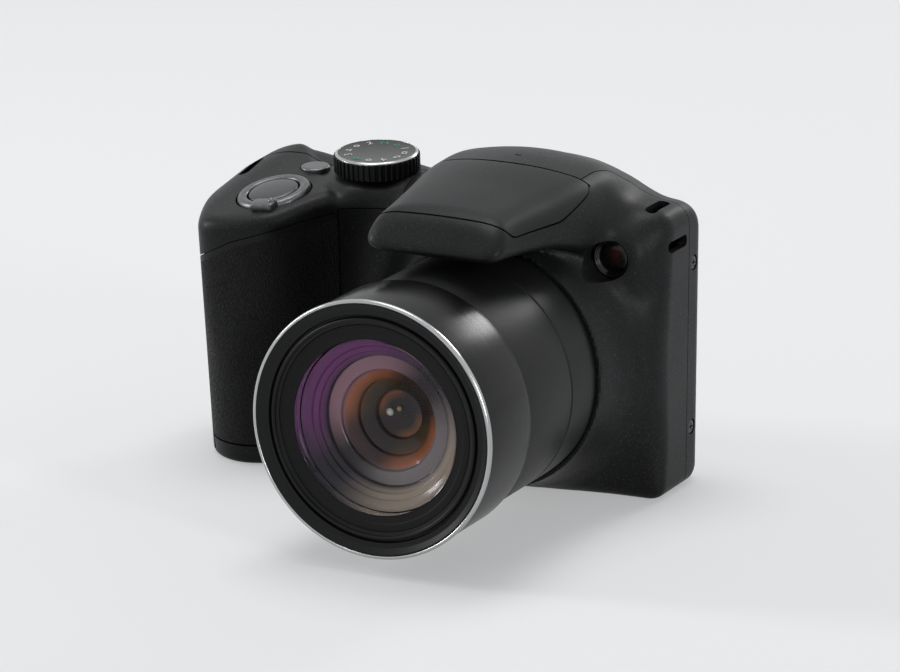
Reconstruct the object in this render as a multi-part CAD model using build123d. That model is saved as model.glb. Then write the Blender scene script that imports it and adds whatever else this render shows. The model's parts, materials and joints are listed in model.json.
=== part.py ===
import os
from math import cos, hypot, radians, sin

from build123d import *

# Bridge camera with a fixed superzoom lens, in millimetres.
# Origin: mouth of the tripod socket in the base. +Z is up, -Y is where the lens looks,
# and -X is the grip side.

# Walls and clearances that many pieces share
wall = 1.8
rib = 1.2
seam_gap = 0.2
seat_gap = 0.15
press_gap = 0.05
move_gap = 0.3
overrun = 6.0

# Casing
right_x = 30.9
left_low_x = -71.8
left_high_x = -73.6
left_high_z = 50.5
left_corner_x = -69.6
left_corner_z = 56.6
crest_x = -62.0
crest_z = 60.7
valley_x = -27.6
valley_z = 59.9
case_front_y = -9.0
case_rear_y = 11.0
seam_y = 3.2
strip_x = 19.0
strip_z = 61.5
strip_front_y = -16.2
strip_high_z = 66.2
grip_side_x = -68.0
shoulder_z = 59.0
hump_foot_x = 17.0
hump_foot_z = 60.0
hump_left_x = -22.0
hump_left_z = 61.2
low_corner_r = 6.0
shoulder_r = 3.5
top_front_r = 10.0
rear_edge_r = 3.4
side_front_y = -8.2
trim_x = 26.6
trim_y = -12.0
plan_corner_r = 4.0

# Grip and plateau
grip_low_front_y = -25.5
grip_high_front_y = -33.0
grip_top_z = 66.0
grip_side_y = -8.6
grip_front_outer_x = -65.5
grip_front_inner_x = -50.5
grip_inner_low_x = -40.0
grip_inner_high_x = -36.5
grip_root_x = -26.0
grip_side_r = 20.0
grip_outer_r = 9.5
grip_inner_r = 9.5
plateau_z = 59.3
plateau_slope = 0.23
plateau_lean = 0.12
dial_deck_z = 58.7
dial_deck_slope = 0.07
scoop_z = 39.5
scoop_r = 28.0
scoop_depth = 2.2
scoop_x = -52.5
plateau_inner_x = -27.5
deck_low_z = 53.5

# Rubber, trim and base
rubber_t = 1.5
rubber_low_z = 4.4
rubber_high_z = 46.7
trim_t = 1.6
rubber_seam_x = -39.4
rubber_rear_y = -4.6
base_t = 2.2
base_skirt_z = 4.1
base_right_x = 27.6
base_front_y = -7.2
base_rear_y = 9.2

# Hump and nose
hump_front_y = -45.3
hump_mid_y = -8.0
hump_ridge_front = 12.7
hump_ridge_mid = 18.0
hump_ridge_rear = 13.0
hump_ridge_front_z = 63.9
hump_ridge_mid_z = 65.7
hump_ridge_rear_z = 62.2
crown_front_z = 64.9
crown_mid_z = 69.0
crown_rear_z = 64.6
hump_skirt_front = 15.6
hump_skirt_mid = 21.0
hump_skirt_rear = 19.5
hump_skirt_z = 60.9
hump_skirt_rear_z = 59.2
hump_low_front = 14.6
hump_low_mid = 20.5
hump_low_rear = 22.0
hump_low_front_z = 56.6
hump_low_mid_z = 52.0
nose_low_y = -51.0

# Lens, measured from the lens axis
lens_z = 28.87
sleeve_r = 24.3
sleeve_wall = 1.5
sleeve_front_y = -55.8
lens_base_y = -13.0
lens_base_t = 2.0
lip_y = -25.7
lip_t = 1.3
flare_rs = (26.4, 28.9, 32.6)
flare_ys = (-18.0, -13.2, -10.2)
flare_end_r = 37.0
mid_wall = 1.4
mid_rear_y = -22.0
shell_front_y = -74.1
shell_rear_y = -56.2
shell_r = 25.2
shell_wall = 1.3
web_t = 1.4
tube_wall = 1.3
tube_rear_y = -26.0
trim_ring_proud = 0.27
trim_ring_w = 0.75
trim_ring_t = 1.0
front_ring_bore = 19.6
front_ring_t = 2.6
step_w = 0.65
step_t = 0.5
step_count = 2
groove_r = 21.9
groove_w = 0.5
groove_depth = 0.7
funnel_bore = 15.9
funnel_t = 1.0
front_lens_r = 17.2
front_lens_bulge = 1.9
front_lens_edge = 3.2
lens_seat_y = -61.4
lens_seat_t = 1.4
lens_seat_lap = 1.4
second_lens_r = 12.0
second_lens_bulge = 1.6
second_lens_edge = 2.0
second_seat_y = -56.0
second_seat_t = 1.2
second_seat_lap = 1.0
iris_bore = 3.4
iris_t = 0.8
rear_tube_r = 13.0
rear_tube_wall = 1.4
rear_tube_y = -23.6
rear_lens_edge = 1.6
rear_lens_bulge = 1.0
rear_lens_y = -18.0
sensor_w = 9.0
sensor_h = 7.6
sensor_t = 1.4
motor_r = 4.2
motor_l = 8.6
motor_x = -29.5
motor_z = 9.5

# Autofocus lamp
lamp_x = 21.2
lamp_z = 50.4
lamp_r = 3.9
lamp_rim = 0.6
lamp_front_y = -13.0
lamp_depth = 6.0
lamp_recess = 1.1
lamp_glass_t = 1.0
lamp_bulb_r = 1.6
lamp_boss_r = 10.0

# Flash
flash_low_z = 61.0
flash_side_y = -28.0
flash_rear_y = -15.8
flash_rear_z = 65.6
flash_axis_y = -20.5
flash_axis_z = 63.0
flash_rear_r = 6.2
flash_skin = 1.4
arm_x = 9.8
arm_w = 1.8
arm_r = 1.4
pin_r = 0.75
running_gap = 0.05
well_floor_z = 55.9
well_floor_t = 0.9
well_rear_y = -15.0
well_front_y = -30.0
housing_half = 11.5
housing_front_y = -42.6
housing_rear_y = -35.4
housing_chin_y = -39.0
housing_brow_z = 60.6
housing_low_z = 58.4
reflector_r = 1.7
reflector_t = 0.3
flash_tube_r = 0.7
window_t = 0.7
window_half = 10.4

# Mode dial
dial_x = -37.4
dial_y = -0.6
dial_r = 9.0
dial_h = 4.4
knurl_count = 44
knurl_depth = 0.35
knurl_w = 0.6
dial_rim = 1.0
dial_face_t = 0.5
dial_shaft_r = 2.0
dial_shaft_l = 6.0

# Shutter button and zoom ring
shutter_x = -53.4
shutter_y = -15.4
shutter_r = 5.2
shutter_proud = 1.1
shutter_t = 2.2
shutter_stem_r = 1.5
shutter_stem_l = 2.2
zoom_ring_r = 7.7
zoom_ring_proud = 0.8
tab_w = 5.0
tab_l = 1.7
tab_h = 1.3
cup_floor_z = -2.2
cup_floor_t = 1.2
cup_depth = 5.2
switch_board_t = 1.0

# Power button
power_x = -51.0
power_y = -2.2
power_r = 3.0
power_proud = 0.3
flange_w = 0.8
flange_t = 0.8

# Back
screen_x = -4.5
screen_z = 30.5
screen_w = 66.0
screen_h = 50.0
screen_glass_t = 0.8
screen_proud = 0.1
screen_panel_t = 1.4
screen_bezel = 2.4
screen_corner_r = 1.5
button_proud = 0.6
movie_x = -47.5
movie_z = 50.0
movie_r = 3.0
playback_x = -61.0
playback_z = 43.0
playback_r = 2.9
pad_x = -56.0
pad_z = 26.0
pad_r = 10.5
pad_bore = 5.0
centre_r = 4.5
menu_x = -56.0
menu_z = 9.5
menu_r = 2.9
thumb_x = -61.0
thumb_z = 52.0
thumb_w = 12.0
thumb_h = 4.6
thumb_t = 1.0
thumb_r = 1.5

# Inside
chassis_y = 2.4
chassis_t = 0.8
chassis_left_x = -41.0
chassis_right_x = 20.6
chassis_low_z = 3.6
chassis_high_z = 56.5
board_gap = 1.4
board_t = 1.0
board_margin = 2.0
standoff_r = 1.2
chip_places = ((-18.0, 38.0), (4.0, 42.0), (10.0, 22.0))
chip_w = 9.0
chip_t = 0.9
post_r = 1.8
post_places_deg = (60.0, 180.0, 300.0)
post_ring_share = 0.93
cap_r = 4.4
cap_l = 26.0
cap_z = 55.0
speaker_r = 5.0
speaker_t = 2.4
speaker_x = -13.5
speaker_z = 9.8

# Grip contents
battery_w = 22.5
battery_t = 6.0
battery_h = 38.0
battery_x = -61.5
bay_wall = 0.8
bay_low_z = 2.5
bay_rear_y = 7.6
bay_corner_r = 4.0
card_w = 24.0
card_t = 2.1
card_h = 32.0
contact_t = 0.3
contact_w = 1.6
contact_h = 1.2
contact_pitch = 5.0
contact_count = 3
door_left_x = -68.0
door_right_x = -45.4
door_rear_y = 8.6
door_side_y = -13.6
door_front_y = -21.4
door_front_left_x = -64.5
door_front_right_x = -51.5
door_t = 1.9
door_pin_r = 0.55
knuckle_r = 1.05
door_pin_l = 2.4
latch_w = 7.0
latch_l = 6.0
latch_t = 0.9
latch_lap = 1.0
latch_travel = 1.6
latch_y = -4.0

# Terminal cover
terminal_low_z = 17.0
terminal_high_z = 37.0
terminal_front_y = -3.6
terminal_rear_y = 5.2
terminal_t = 1.3
socket_w = 5.0
socket_h = 2.8
socket_l = 3.6
socket_zs = (22.0, 31.5)

# Strap slots
strap_front_y = -6.2
strap_rear_y = 2.0
strap_slot = 2.4
strap_lining_t = 1.0
strap_right_x = 24.0
strap_right_z = 52.2
strap_left_x = -66.2
strap_left_z = 51.6

# Fasteners and tripod socket
screw_head_r = 1.5
screw_head_t = 0.9
screw_r = 0.8
screw_l = 4.4
screw_boss_r = 2.0
side_screw_y = 5.6
side_screw_zs = (12.1, 46.4)
base_screw_places = ((23.0, 4.6), (-20.0, 4.6), (-36.0, -3.4))
tripod_r = 3.175
tripod_l = 5.4
tripod_wall = 2.0
tripod_cap = 1.0
tripod_flange_r = 6.9
tripod_flange_t = 1.2


# Values that follow from the ones above
lip_r = sleeve_r + seat_gap
scoop_share = scoop_z / grip_top_z
scoop_floor_y = grip_low_front_y + (grip_high_front_y - grip_low_front_y) * scoop_share + scoop_depth
trim_low_z = rubber_high_z + seam_gap
band_low_z = trim_low_z + trim_t + seam_gap
mid_r = sleeve_r - sleeve_wall - move_gap
tube_r = mid_r - mid_wall - move_gap
shell_bore = shell_r - shell_wall
trim_ring_r = shell_r + trim_ring_proud
ring_face_y = shell_front_y + trim_ring_t
front_lens_y = lens_seat_y - press_gap - front_lens_edge / 2
second_lens_y = second_seat_y - press_gap - second_lens_edge / 2
lens_base_rear_y = lens_base_y + lens_base_t
rear_inner_y = case_rear_y - wall
zoom_bore = shutter_r + move_gap
cup_r = zoom_ring_r + move_gap
board_y = chassis_y + chassis_t + board_gap
bay_high_z = bay_low_z + battery_h + contact_h + 2 * seat_gap + bay_wall
card_x = battery_x + battery_t / 2 + bay_wall + card_t / 2 + 2 * seat_gap
door_axis_x = door_right_x + knuckle_r
door_axis_z = knuckle_r


def block(x_range, y_range, z_range):
    """Upright box between two limits along each axis."""
    size = [high - low for low, high in (x_range, y_range, z_range)]
    middle = [(high + low) / 2 for low, high in (x_range, y_range, z_range)]
    return Pos(*middle) * Box(*size)


def rod(radius, start, end):
    """Round bar from one point to another."""
    start, end = Vector(*start), Vector(*end)
    way = end - start
    return extrude(Plane(start, z_dir=way) * Circle(radius), way.length)


def lens_disc(radius, y_front, y_back):
    """Disc on the lens axis."""
    return rod(radius, (0, y_front, lens_z), (0, y_back, lens_z))


def lens_tube(outer, inner, y_front, y_back):
    """Tube on the lens axis, open at both ends."""
    return lens_disc(outer, y_front, y_back) - lens_disc(inner, y_front - overrun, y_back + overrun)


def polygon_face(points, radii=None):
    """Flat face through points in space, with a corner radius for each point that has one."""
    face = make_face(Polyline(*points, close=True))
    for point, radius in zip(points, radii or []):
        if radius:
            face = fillet(face.vertices().sort_by_distance(Vector(*point))[0], radius)
    return face


def prism(points, way, length, radii=None):
    """Solid swept straight from a flat outline."""
    return extrude(polygon_face(points, radii), length, dir=way)


def lens_shape(radius, edge, bulge_front, bulge_back, y_middle):
    """Round lens element with a straight edge and one or two spherical faces."""
    front, back = y_middle - edge / 2, y_middle + edge / 2
    body = lens_disc(radius, front - 2 * bulge_front, back + 2 * bulge_back)
    for bulge, rim_y, way in ((bulge_front, front, 1), (bulge_back, back, -1)):
        if bulge:
            sphere_r = (radius**2 + bulge**2) / (2 * bulge)
            body &= Pos(0, rim_y + way * (sphere_r - bulge), lens_z) * Sphere(sphere_r)
    return body


# Outer form of the casing, which the covers share


def case_outline(inset, front_y, rear_y):
    """Bar with the casing's outline as seen from the front, drawn in by an inset."""
    outline = [
        (left_low_x + inset, front_y, inset),
        (right_x - inset, front_y, inset),
        (right_x - inset, front_y, shoulder_z - inset),
        (hump_foot_x, front_y, hump_foot_z - inset),
        (hump_left_x, front_y, hump_left_z - inset),
        (valley_x, front_y, valley_z - inset),
        (crest_x, front_y, crest_z - inset),
        (left_corner_x + inset, front_y, left_corner_z - inset),
        (left_high_x + inset, front_y, left_high_z - inset),
    ]
    radii = [0, low_corner_r - inset, shoulder_r - inset / 2]
    return prism(outline, (0, 1, 0), rear_y - front_y, radii)


def case_form(inset):
    """Main casing: the front outline cut to its side profile."""
    bar = case_outline(inset, case_front_y + inset, case_rear_y - inset)
    top = crest_z + wall - inset
    profile = [
        (0, case_front_y + inset, -overrun),
        (0, case_rear_y - inset, -overrun),
        (0, case_rear_y - inset, top),
        (0, case_front_y + inset, top),
    ]
    profile_radii = [0, 0, rear_edge_r - inset / 2, top_front_r - inset]
    width = right_x - left_high_x
    loaf = Pos(left_high_x, 0, 0) * prism(profile, (1, 0, 0), width, profile_radii)
    return bar & loaf


def flare_form(inset):
    """Concave flare that rises from the front of the casing to the lip round the lens."""
    points = [(lip_r + lip_t - inset, lip_y)]
    points += [(r - inset, y + inset) for r, y in zip(flare_rs, flare_ys)]
    points += [(flare_end_r - inset, case_front_y + inset)]
    curve = Spline(*[(r, y, lens_z) for r, y in points])
    end_r, end_y = points[-1]
    edges = [
        Line((0, lip_y, lens_z), (points[0][0], lip_y, lens_z)),
        curve,
        Line((end_r, end_y, lens_z), (end_r, seam_y, lens_z)),
        Line((end_r, seam_y, lens_z), (0, seam_y, lens_z)),
        Line((0, seam_y, lens_z), (0, lip_y, lens_z)),
    ]
    turned = revolve(make_face(Wire(edges)), Axis((0, 0, lens_z), (0, 1, 0)), 360)
    outline = [
        (left_low_x, 0, inset),
        (right_x - inset, 0, inset),
        (right_x - inset, 0, shoulder_z - inset),
        (0, 0, hump_foot_z - inset),
        (valley_x, 0, valley_z - inset),
        (left_low_x, 0, valley_z - inset),
    ]
    radii = [0, low_corner_r - inset, top_front_r - inset]
    return turned & (Pos(0, lip_y, 0) * prism(outline, (0, 1, 0), seam_y - lip_y, radii))


def plan_cut():
    """Plan outline that trims the casing and its flare at the far end from the grip."""
    points = [
        (grip_root_x * 2, case_rear_y, 0),
        (right_x, case_rear_y, 0),
        (right_x, side_front_y, 0),
        (trim_x, trim_y, 0),
        (lip_r + lip_t, lip_y - overrun, 0),
        (grip_root_x * 2, lip_y - overrun, 0),
    ]
    radii = [0, rear_edge_r, plan_corner_r, plan_corner_r]
    return points, radii


def plan_form(inset):
    points, radii = plan_cut()
    face = polygon_face(points, radii)
    if inset:
        face = offset(face, -inset, kind=Kind.INTERSECTION)
    return extrude(face, crown_mid_z, dir=(0, 0, 1))


def grip_plan(z, front_y, inner_x, side_x, inset):
    """Plan outline of the grip at one height."""
    points = [
        (side_x + inset, case_rear_y - inset, z),
        (side_x + inset, grip_side_y + inset / 2, z),
        (grip_front_outer_x + inset, front_y + inset, z),
        (grip_front_inner_x - inset, front_y + inset, z),
        (inner_x - inset, case_front_y + inset, z),
        (grip_root_x - inset, case_front_y + inset, z),
        (grip_root_x - inset, case_rear_y - inset, z),
    ]
    rounds = (rear_edge_r * 2, grip_side_r, grip_outer_r, grip_inner_r)
    return polygon_face(points, [radius - inset for radius in rounds] + [grip_inner_r])


def deck_plane(height, lean, slope, inset):
    """Plane of one stretch of the plateau, through the shutter's middle line."""
    return Plane((shutter_x, 0, height - inset), x_dir=(1, 0, lean), z_dir=(-lean, -slope, 1))


def plateau_frame(x, y):
    """Plane of the steep deck, moved to one place on it."""
    height = plateau_z + plateau_slope * y + plateau_lean * (x - shutter_x)
    return Plane((x, y, height), x_dir=(1, 0, plateau_lean), z_dir=(-plateau_lean, -plateau_slope, 1))


def shutter_plane():
    """Plane of the plateau, moved to where the shutter button stands."""
    return plateau_frame(shutter_x, shutter_y)


def plateau_planes(inset):
    """Everything above the plateau: a steep deck for the shutter and a flat one for the dial."""
    reach = 2 * (crown_mid_z + overrun)
    above = Pos(0, 0, reach / 2) * Box(reach, reach, reach)
    steep = deck_plane(plateau_z, plateau_lean, plateau_slope, inset).location * above
    flat = deck_plane(dial_deck_z, 0, dial_deck_slope, inset).location * above
    return steep, flat


def grip_form(inset):
    """Grip with its plateau, tapering in towards the base."""
    low = grip_plan(inset, grip_low_front_y, grip_inner_low_x, left_low_x, inset)
    lean = (left_high_x - left_low_x) * grip_top_z / left_high_z
    high = grip_plan(grip_top_z, grip_high_front_y - seam_gap, grip_inner_high_x, left_low_x + lean, inset)
    form = loft([low, high], ruled=True)
    for cut in plateau_planes(inset):
        form -= cut
    outline = [
        (left_low_x + inset, 0, 0),
        (grip_root_x, 0, 0),
        (grip_root_x, 0, crown_mid_z),
        (crest_x, 0, crown_mid_z),
        (crest_x, 0, crest_z - inset + press_gap),
        (left_corner_x + inset, 0, left_corner_z - inset),
        (left_high_x + inset, 0, left_high_z - inset),
    ]
    reach = case_rear_y - grip_high_front_y
    bar = Pos(0, grip_high_front_y - seam_gap, 0) * prism(outline, (0, 1, 0), reach)
    form &= bar
    return form - Pos(scoop_x, scoop_floor_y - scoop_r, scoop_z) * Sphere(scoop_r + inset)


def hump_section(y, ridge, ridge_z, crown_z, skirt, skirt_z, low, low_z, inset):
    """One upright section of the hump: crowned top, two side facets and a straight underside."""
    ridge, skirt, low = ridge - inset / 2, skirt - inset, low - inset
    ridge_z, crown_z, skirt_z = ridge_z - inset, crown_z - inset, skirt_z - inset / 2
    edges = [
        Line((-low, y, low_z), (low, y, low_z)),
        Line((low, y, low_z), (skirt, y, skirt_z)),
        Line((skirt, y, skirt_z), (ridge, y, ridge_z)),
        ThreePointArc((ridge, y, ridge_z), (0, y, crown_z), (-ridge, y, ridge_z)),
        Line((-ridge, y, ridge_z), (-skirt, y, skirt_z)),
        Line((-skirt, y, skirt_z), (-low, y, low_z)),
    ]
    return make_face(Wire(edges))


def hump_form(inset):
    """Hump from the back of the casing to the nose that hangs over the lens."""
    front = (hump_ridge_front, hump_ridge_front_z, crown_front_z, hump_skirt_front, hump_skirt_z)
    front += (hump_low_front, hump_low_front_z + inset)
    middle = (hump_ridge_mid, hump_ridge_mid_z, crown_mid_z, hump_skirt_mid, hump_skirt_z)
    middle += (hump_low_mid, hump_low_mid_z)
    rear = (hump_ridge_rear, hump_ridge_rear_z, crown_rear_z, hump_skirt_rear, hump_skirt_rear_z)
    rear += (hump_low_rear, hump_low_mid_z)
    ahead_y = 2 * nose_low_y - hump_front_y
    drop = (crown_mid_z - crown_front_z) * (hump_front_y - ahead_y) / (hump_mid_y - hump_front_y)
    ahead = (hump_ridge_front, hump_ridge_front_z - drop / 2, crown_front_z - drop)
    ahead += (hump_skirt_front, hump_skirt_z, hump_low_front, hump_low_front_z + inset)
    sections = [
        hump_section(ahead_y, *ahead, inset),
        hump_section(hump_front_y, *front, inset),
        hump_section(hump_mid_y, *middle, inset),
        hump_section(case_rear_y - inset, *rear, inset),
    ]
    form = loft(sections[:2], ruled=True)
    form += loft(sections[1:3], ruled=True)
    form += loft(sections[2:], ruled=True)
    face_rise = crown_front_z - hump_low_front_z
    face_run = hump_front_y - nose_low_y
    away = face_run / face_rise
    low_z, high_z = hump_low_front_z - overrun, crown_mid_z + overrun
    low_y = nose_low_y + inset - overrun * away
    high_y = hump_front_y + inset + (high_z - crown_front_z) * away
    front_y = ahead_y - overrun
    points = [(0, low_y, low_z), (0, high_y, high_z), (0, front_y, high_z), (0, front_y, low_z)]
    half = hump_low_rear + overrun
    return form - Pos(-half, 0, 0) * prism(points, (1, 0, 0), 2 * half)


def plateau_cut(inset):
    """What the plateau takes off the casing on the grip side."""
    steep, flat = plateau_planes(inset)
    x_limits, y_limits = (left_high_x - overrun, plateau_inner_x), (lip_y, case_rear_y + overrun)
    return (steep + flat) & block(x_limits, y_limits, (0, crown_mid_z + overrun))


def left_half():
    """Room on the grip side, where the plan outline doesn't trim the casing."""
    return block((grip_front_outer_x, grip_root_x), (lip_y - overrun, case_rear_y), (0, crown_mid_z))


def lamp_boss(inset):
    """Swelling of the far shoulder round the autofocus lamp."""
    height = seam_y - lamp_front_y - inset
    cone = Cone(lamp_boss_r - inset, lamp_r + rib, height)
    turned = Plane((lamp_x, seam_y, lamp_z), z_dir=(0, -1, 0)).location * Pos(0, 0, height / 2) * cone
    return turned & (case_outline(inset, lamp_front_y, seam_y) & plan_form(inset))


def outer_form():
    """Whole outside of the casing with no openings."""
    casing = (case_form(0) + flare_form(0)) & (plan_form(0) + left_half())
    return casing - plateau_cut(0) + grip_form(0) + hump_form(0) + lamp_boss(0)


def inner_form():
    """Hollow inside the covers."""
    casing = (case_form(wall) + flare_form(wall)) & (plan_form(wall) + left_half())
    return casing - plateau_cut(wall) + grip_form(wall + rubber_t) + hump_form(wall) + lamp_boss(wall)


# Regions that share the casing out among its covers


def wide(low_y, high_y, low_z, high_z, left_x=left_high_x - overrun, right=right_x + overrun):
    """Block that is wider than the casing unless it is given limits."""
    return block((left_x, right), (low_y, high_y), (low_z, high_z))


def rear_region(grow):
    """Back of the casing, with the strip behind the flash and the side of the grip."""
    behind, above, below = case_rear_y + overrun, crown_mid_z + overrun, -overrun
    region = wide(seam_y - grow, behind, below, above)
    band_z = band_low_z - seam_gap + grow
    region += wide(rubber_rear_y - grow, behind, below, band_z, right=grip_side_x + grow)
    sides = (-strip_x - grow, strip_x + grow)
    region += wide(strip_front_y - grow, behind, strip_z - grow, above, *sides)
    region += wide(flash_axis_y, behind, strip_high_z - grow, above, *sides)
    return region


def top_region(grow):
    """Plateau, its front band and the deck beside the hump."""
    front, above = grip_high_front_y - overrun, crown_mid_z + overrun
    back = seam_y - seam_gap
    region = wide(front, back, deck_low_z - grow, above, right=plateau_inner_x + grow)
    region += wide(front, back, band_low_z - grow, above, right=rubber_seam_x + grow)
    return region


def rubber_region(low_z, high_z, grow):
    """Front and side of the grip between two heights."""
    front = grip_high_front_y - overrun
    return wide(front, rubber_rear_y + grow, low_z - grow, high_z + grow, right=rubber_seam_x + grow)


def base_region(grow):
    """Bottom plate: full width in the grip, set in from the edge elsewhere."""
    below, front = -overrun, grip_high_front_y - overrun
    region = wide(front, case_rear_y + overrun, below, base_t + grow, right=rubber_seam_x + grow)
    region += block(
        (rubber_seam_x - overrun, base_right_x + grow),
        (base_front_y - grow, base_rear_y + grow),
        (below, base_t + grow),
    )
    return region


def lid_region(grow):
    """Space of the flash lid: a side outline, rounded at the back about the hinge."""
    front, above = hump_front_y - grow, crown_mid_z + overrun
    half = hump_skirt_mid + overrun
    points = [
        (-half, front, flash_low_z - grow),
        (-half, flash_side_y, flash_low_z - grow),
        (-half, flash_rear_y + grow, flash_rear_z - grow),
        (-half, flash_rear_y + grow, above),
        (-half, front, above),
    ]
    outline = prism(points, (1, 0, 0), 2 * half)
    ahead = wide(front, flash_axis_y, flash_low_z - overrun, above)
    return outline & (ahead + hinge_rod(flash_rear_r + grow, half))


def lid_sweep():
    """Room that the back edge of the lid turns through."""
    ahead_y = flash_axis_y - arm_r
    slope = (hump_ridge_mid - hump_ridge_front) / (hump_mid_y - hump_front_y)
    near = hump_ridge_front + slope * (ahead_y - hump_front_y) + 3 * move_gap
    far = hump_ridge_mid + 3 * move_gap
    points = [(-near, ahead_y, 0), (near, ahead_y, 0), (far, hump_mid_y, 0), (-far, hump_mid_y, 0)]
    return prism(points, (0, 0, 1), crown_mid_z + overrun) & hinge_rod(flash_rear_r + move_gap, far)


def hinge_rod(radius, half):
    """Round bar on the flash hinge."""
    return rod(radius, (-half, flash_axis_y, flash_axis_z), (half, flash_axis_y, flash_axis_z))


def grip_skin(thickness):
    return grip_form(0) - grip_form(thickness)


# Covers


def strap_lining(x, z, side):
    """Solid corner round a strap slot."""
    grow = strap_lining_t + strap_slot / 2
    outward = x + side * (crown_mid_z)
    limits = sorted((x - side * grow, outward))
    ends = (strap_front_y - strap_lining_t, strap_rear_y + strap_lining_t - press_gap)
    return block(limits, ends, (z - grow, crown_mid_z))


def strap_channel(x, z, side):
    """Slot that enters at the top, turns inside the corner and leaves at the side."""
    half = strap_slot / 2
    ends = (strap_front_y, strap_rear_y)
    upright = block((x - half, x + half), ends, (z - half, crown_mid_z))
    level = block(sorted((x - side * half, x + side * crown_mid_z)), ends, (z - half, z + half))
    return upright + level


def lamp_rod(radius, front_y, rear_y):
    return rod(radius, (lamp_x, front_y, lamp_z), (lamp_x, rear_y, lamp_z))


def front_cover(outer, inner):
    """Flare round the lens, far shoulder, nose, and the wall that the grip rubber lies on."""
    body = outer - rear_region(seam_gap) - top_region(seam_gap) - base_region(seam_gap)
    hollow = inner - strap_lining(strap_right_x, strap_right_z, 1)
    body -= hollow
    body -= grip_skin(rubber_t + press_gap) & rubber_region(base_skirt_z, band_low_z, seam_gap)
    body -= grip_skin(rubber_t + press_gap) & rubber_region(0, base_skirt_z, seam_gap)
    body -= strap_channel(strap_right_x, strap_right_z, 1)
    body -= lens_disc(lip_r, lip_y - overrun, case_front_y + wall)
    body -= lamp_rod(lamp_r + seat_gap, lamp_front_y - overrun, lamp_front_y + lamp_depth)
    body -= lid_region(seam_gap)
    body -= lid_sweep()
    body -= door_solid(seam_gap, base_t + rubber_t + wall)
    return body


def rear_cover(outer, inner):
    """Back of the casing with the screen window, the button holes and the strip behind the flash."""
    body = (outer & rear_region(0)) - base_region(seam_gap) - inner
    for z in side_screw_zs:
        boss_end = right_x - screw_head_t - screw_l
        body += rod(screw_boss_r, (right_x - wall / 2, side_screw_y, z), (boss_end, side_screw_y, z))
        body -= side_screw(z, seat_gap)
    body -= lid_region(seam_gap)
    body -= lid_sweep()
    glass_y = case_rear_y + screen_proud - screen_glass_t - seat_gap
    body -= screen_plate(screen_glass_t + seat_gap, glass_y, -seat_gap)
    body -= screen_plate(overrun, rear_inner_y - wall, screen_bezel)
    for x, z, radius in rear_buttons().values():
        body -= rear_rod(radius + move_gap, x, z, rear_inner_y - overrun, case_rear_y + overrun)
    body -= rear_rod(pad_r + move_gap, pad_x, pad_z, rear_inner_y - wall, case_rear_y + overrun)
    body -= thumb_block(seat_gap)
    body -= terminal_solid(terminal_t + seam_gap, seam_gap)
    for socket in sockets(seat_gap):
        body -= socket
    return body


def top_cover(outer, inner):
    """Plateau with the seat of the zoom ring, the dial's bearing and the power button's hole."""
    plane = shutter_plane()
    body = (outer & top_region(0)) - (inner - strap_lining(strap_left_x, strap_left_z, -1))
    body -= strap_channel(strap_left_x, strap_left_z, -1)
    body -= on_plane(plane, upright_rod(cup_r, -cup_depth, overrun))
    cup = upright_rod(cup_r + rib, -cup_depth, 0) - upright_rod(cup_r, cup_floor_z, overrun)
    cup -= upright_rod(cup_r, -cup_depth - overrun, cup_floor_z - cup_floor_t)
    cup -= upright_rod(shutter_stem_r + seat_gap, -cup_depth, overrun)
    body += on_plane(plane, cup) & outer
    body -= on_plane(dial_plane(), upright_rod(dial_shaft_r + running_gap, -dial_shaft_l, overrun))
    body -= on_plane(power_plane(), upright_rod(power_r + seat_gap, -overrun, overrun))
    return body


def base_cover(outer):
    """Bottom plate with the tripod hole, the battery door's opening and the skirt of the grip."""
    body = outer & base_region(0)
    body += grip_skin(rubber_t) & rubber_region(0, base_skirt_z, 0)
    body -= rod(tripod_r + tripod_wall + seat_gap, (0, 0, -overrun), (0, 0, base_t + overrun))
    body -= door_solid(seam_gap, base_t + overrun)
    ends = (door_side_y - seam_gap, door_rear_y + seam_gap)
    reach = door_axis_x + knuckle_r + move_gap
    body -= block((door_right_x - seam_gap, reach), ends, (-overrun, base_t + overrun))
    body -= rod(door_pin_r + running_gap, *door_pin_ends())
    body -= latch_tongue(seat_gap)
    for place in base_screw_places:
        body -= base_screw(place, seat_gap)
    return body


def grip_rubber():
    """Rubber that wraps the front and the side of the grip."""
    return grip_skin(rubber_t) & rubber_region(rubber_low_z, rubber_high_z, 0)


def grip_trim():
    """Narrow strip between the rubber and the plateau's band."""
    return grip_skin(rubber_t) & rubber_region(trim_low_z, trim_low_z + trim_t, 0)


# Frames on the plateau


def on_plane(plane, shape):
    return plane.location * shape


def upright_rod(radius, low, high):
    return Pos(0, 0, (low + high) / 2) * Cylinder(radius, high - low)


def dial_deck_frame(x, y):
    """Plane of the dial's deck, moved to one place on it."""
    height = dial_deck_z + dial_deck_slope * y
    return Plane((x, y, height), x_dir=(1, 0, 0), z_dir=(0, -dial_deck_slope, 1))


def dial_plane():
    return dial_deck_frame(dial_x, dial_y)


def power_plane():
    return dial_deck_frame(power_x, power_y)


def mode_dial():
    """Knurled dial with its shaft and a recess for the face plate."""
    body = upright_rod(dial_r, move_gap, dial_h)
    body = chamfer(body.edges().group_by(Axis.Z)[-1], dial_rim / 2)
    pitch = dial_r + knurl_w / 2 - knurl_depth
    cut = Pos(pitch, 0, 0) * Box(knurl_w, knurl_w, 2 * (dial_h - dial_rim))
    body -= [Rot(0, 0, turn * 360 / knurl_count) * cut for turn in range(knurl_count)]
    body -= upright_rod(dial_r - dial_rim, dial_h - dial_face_t, dial_h + overrun)
    body += upright_rod(dial_shaft_r, -dial_shaft_l, dial_h / 2)
    return on_plane(dial_plane(), body)


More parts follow.
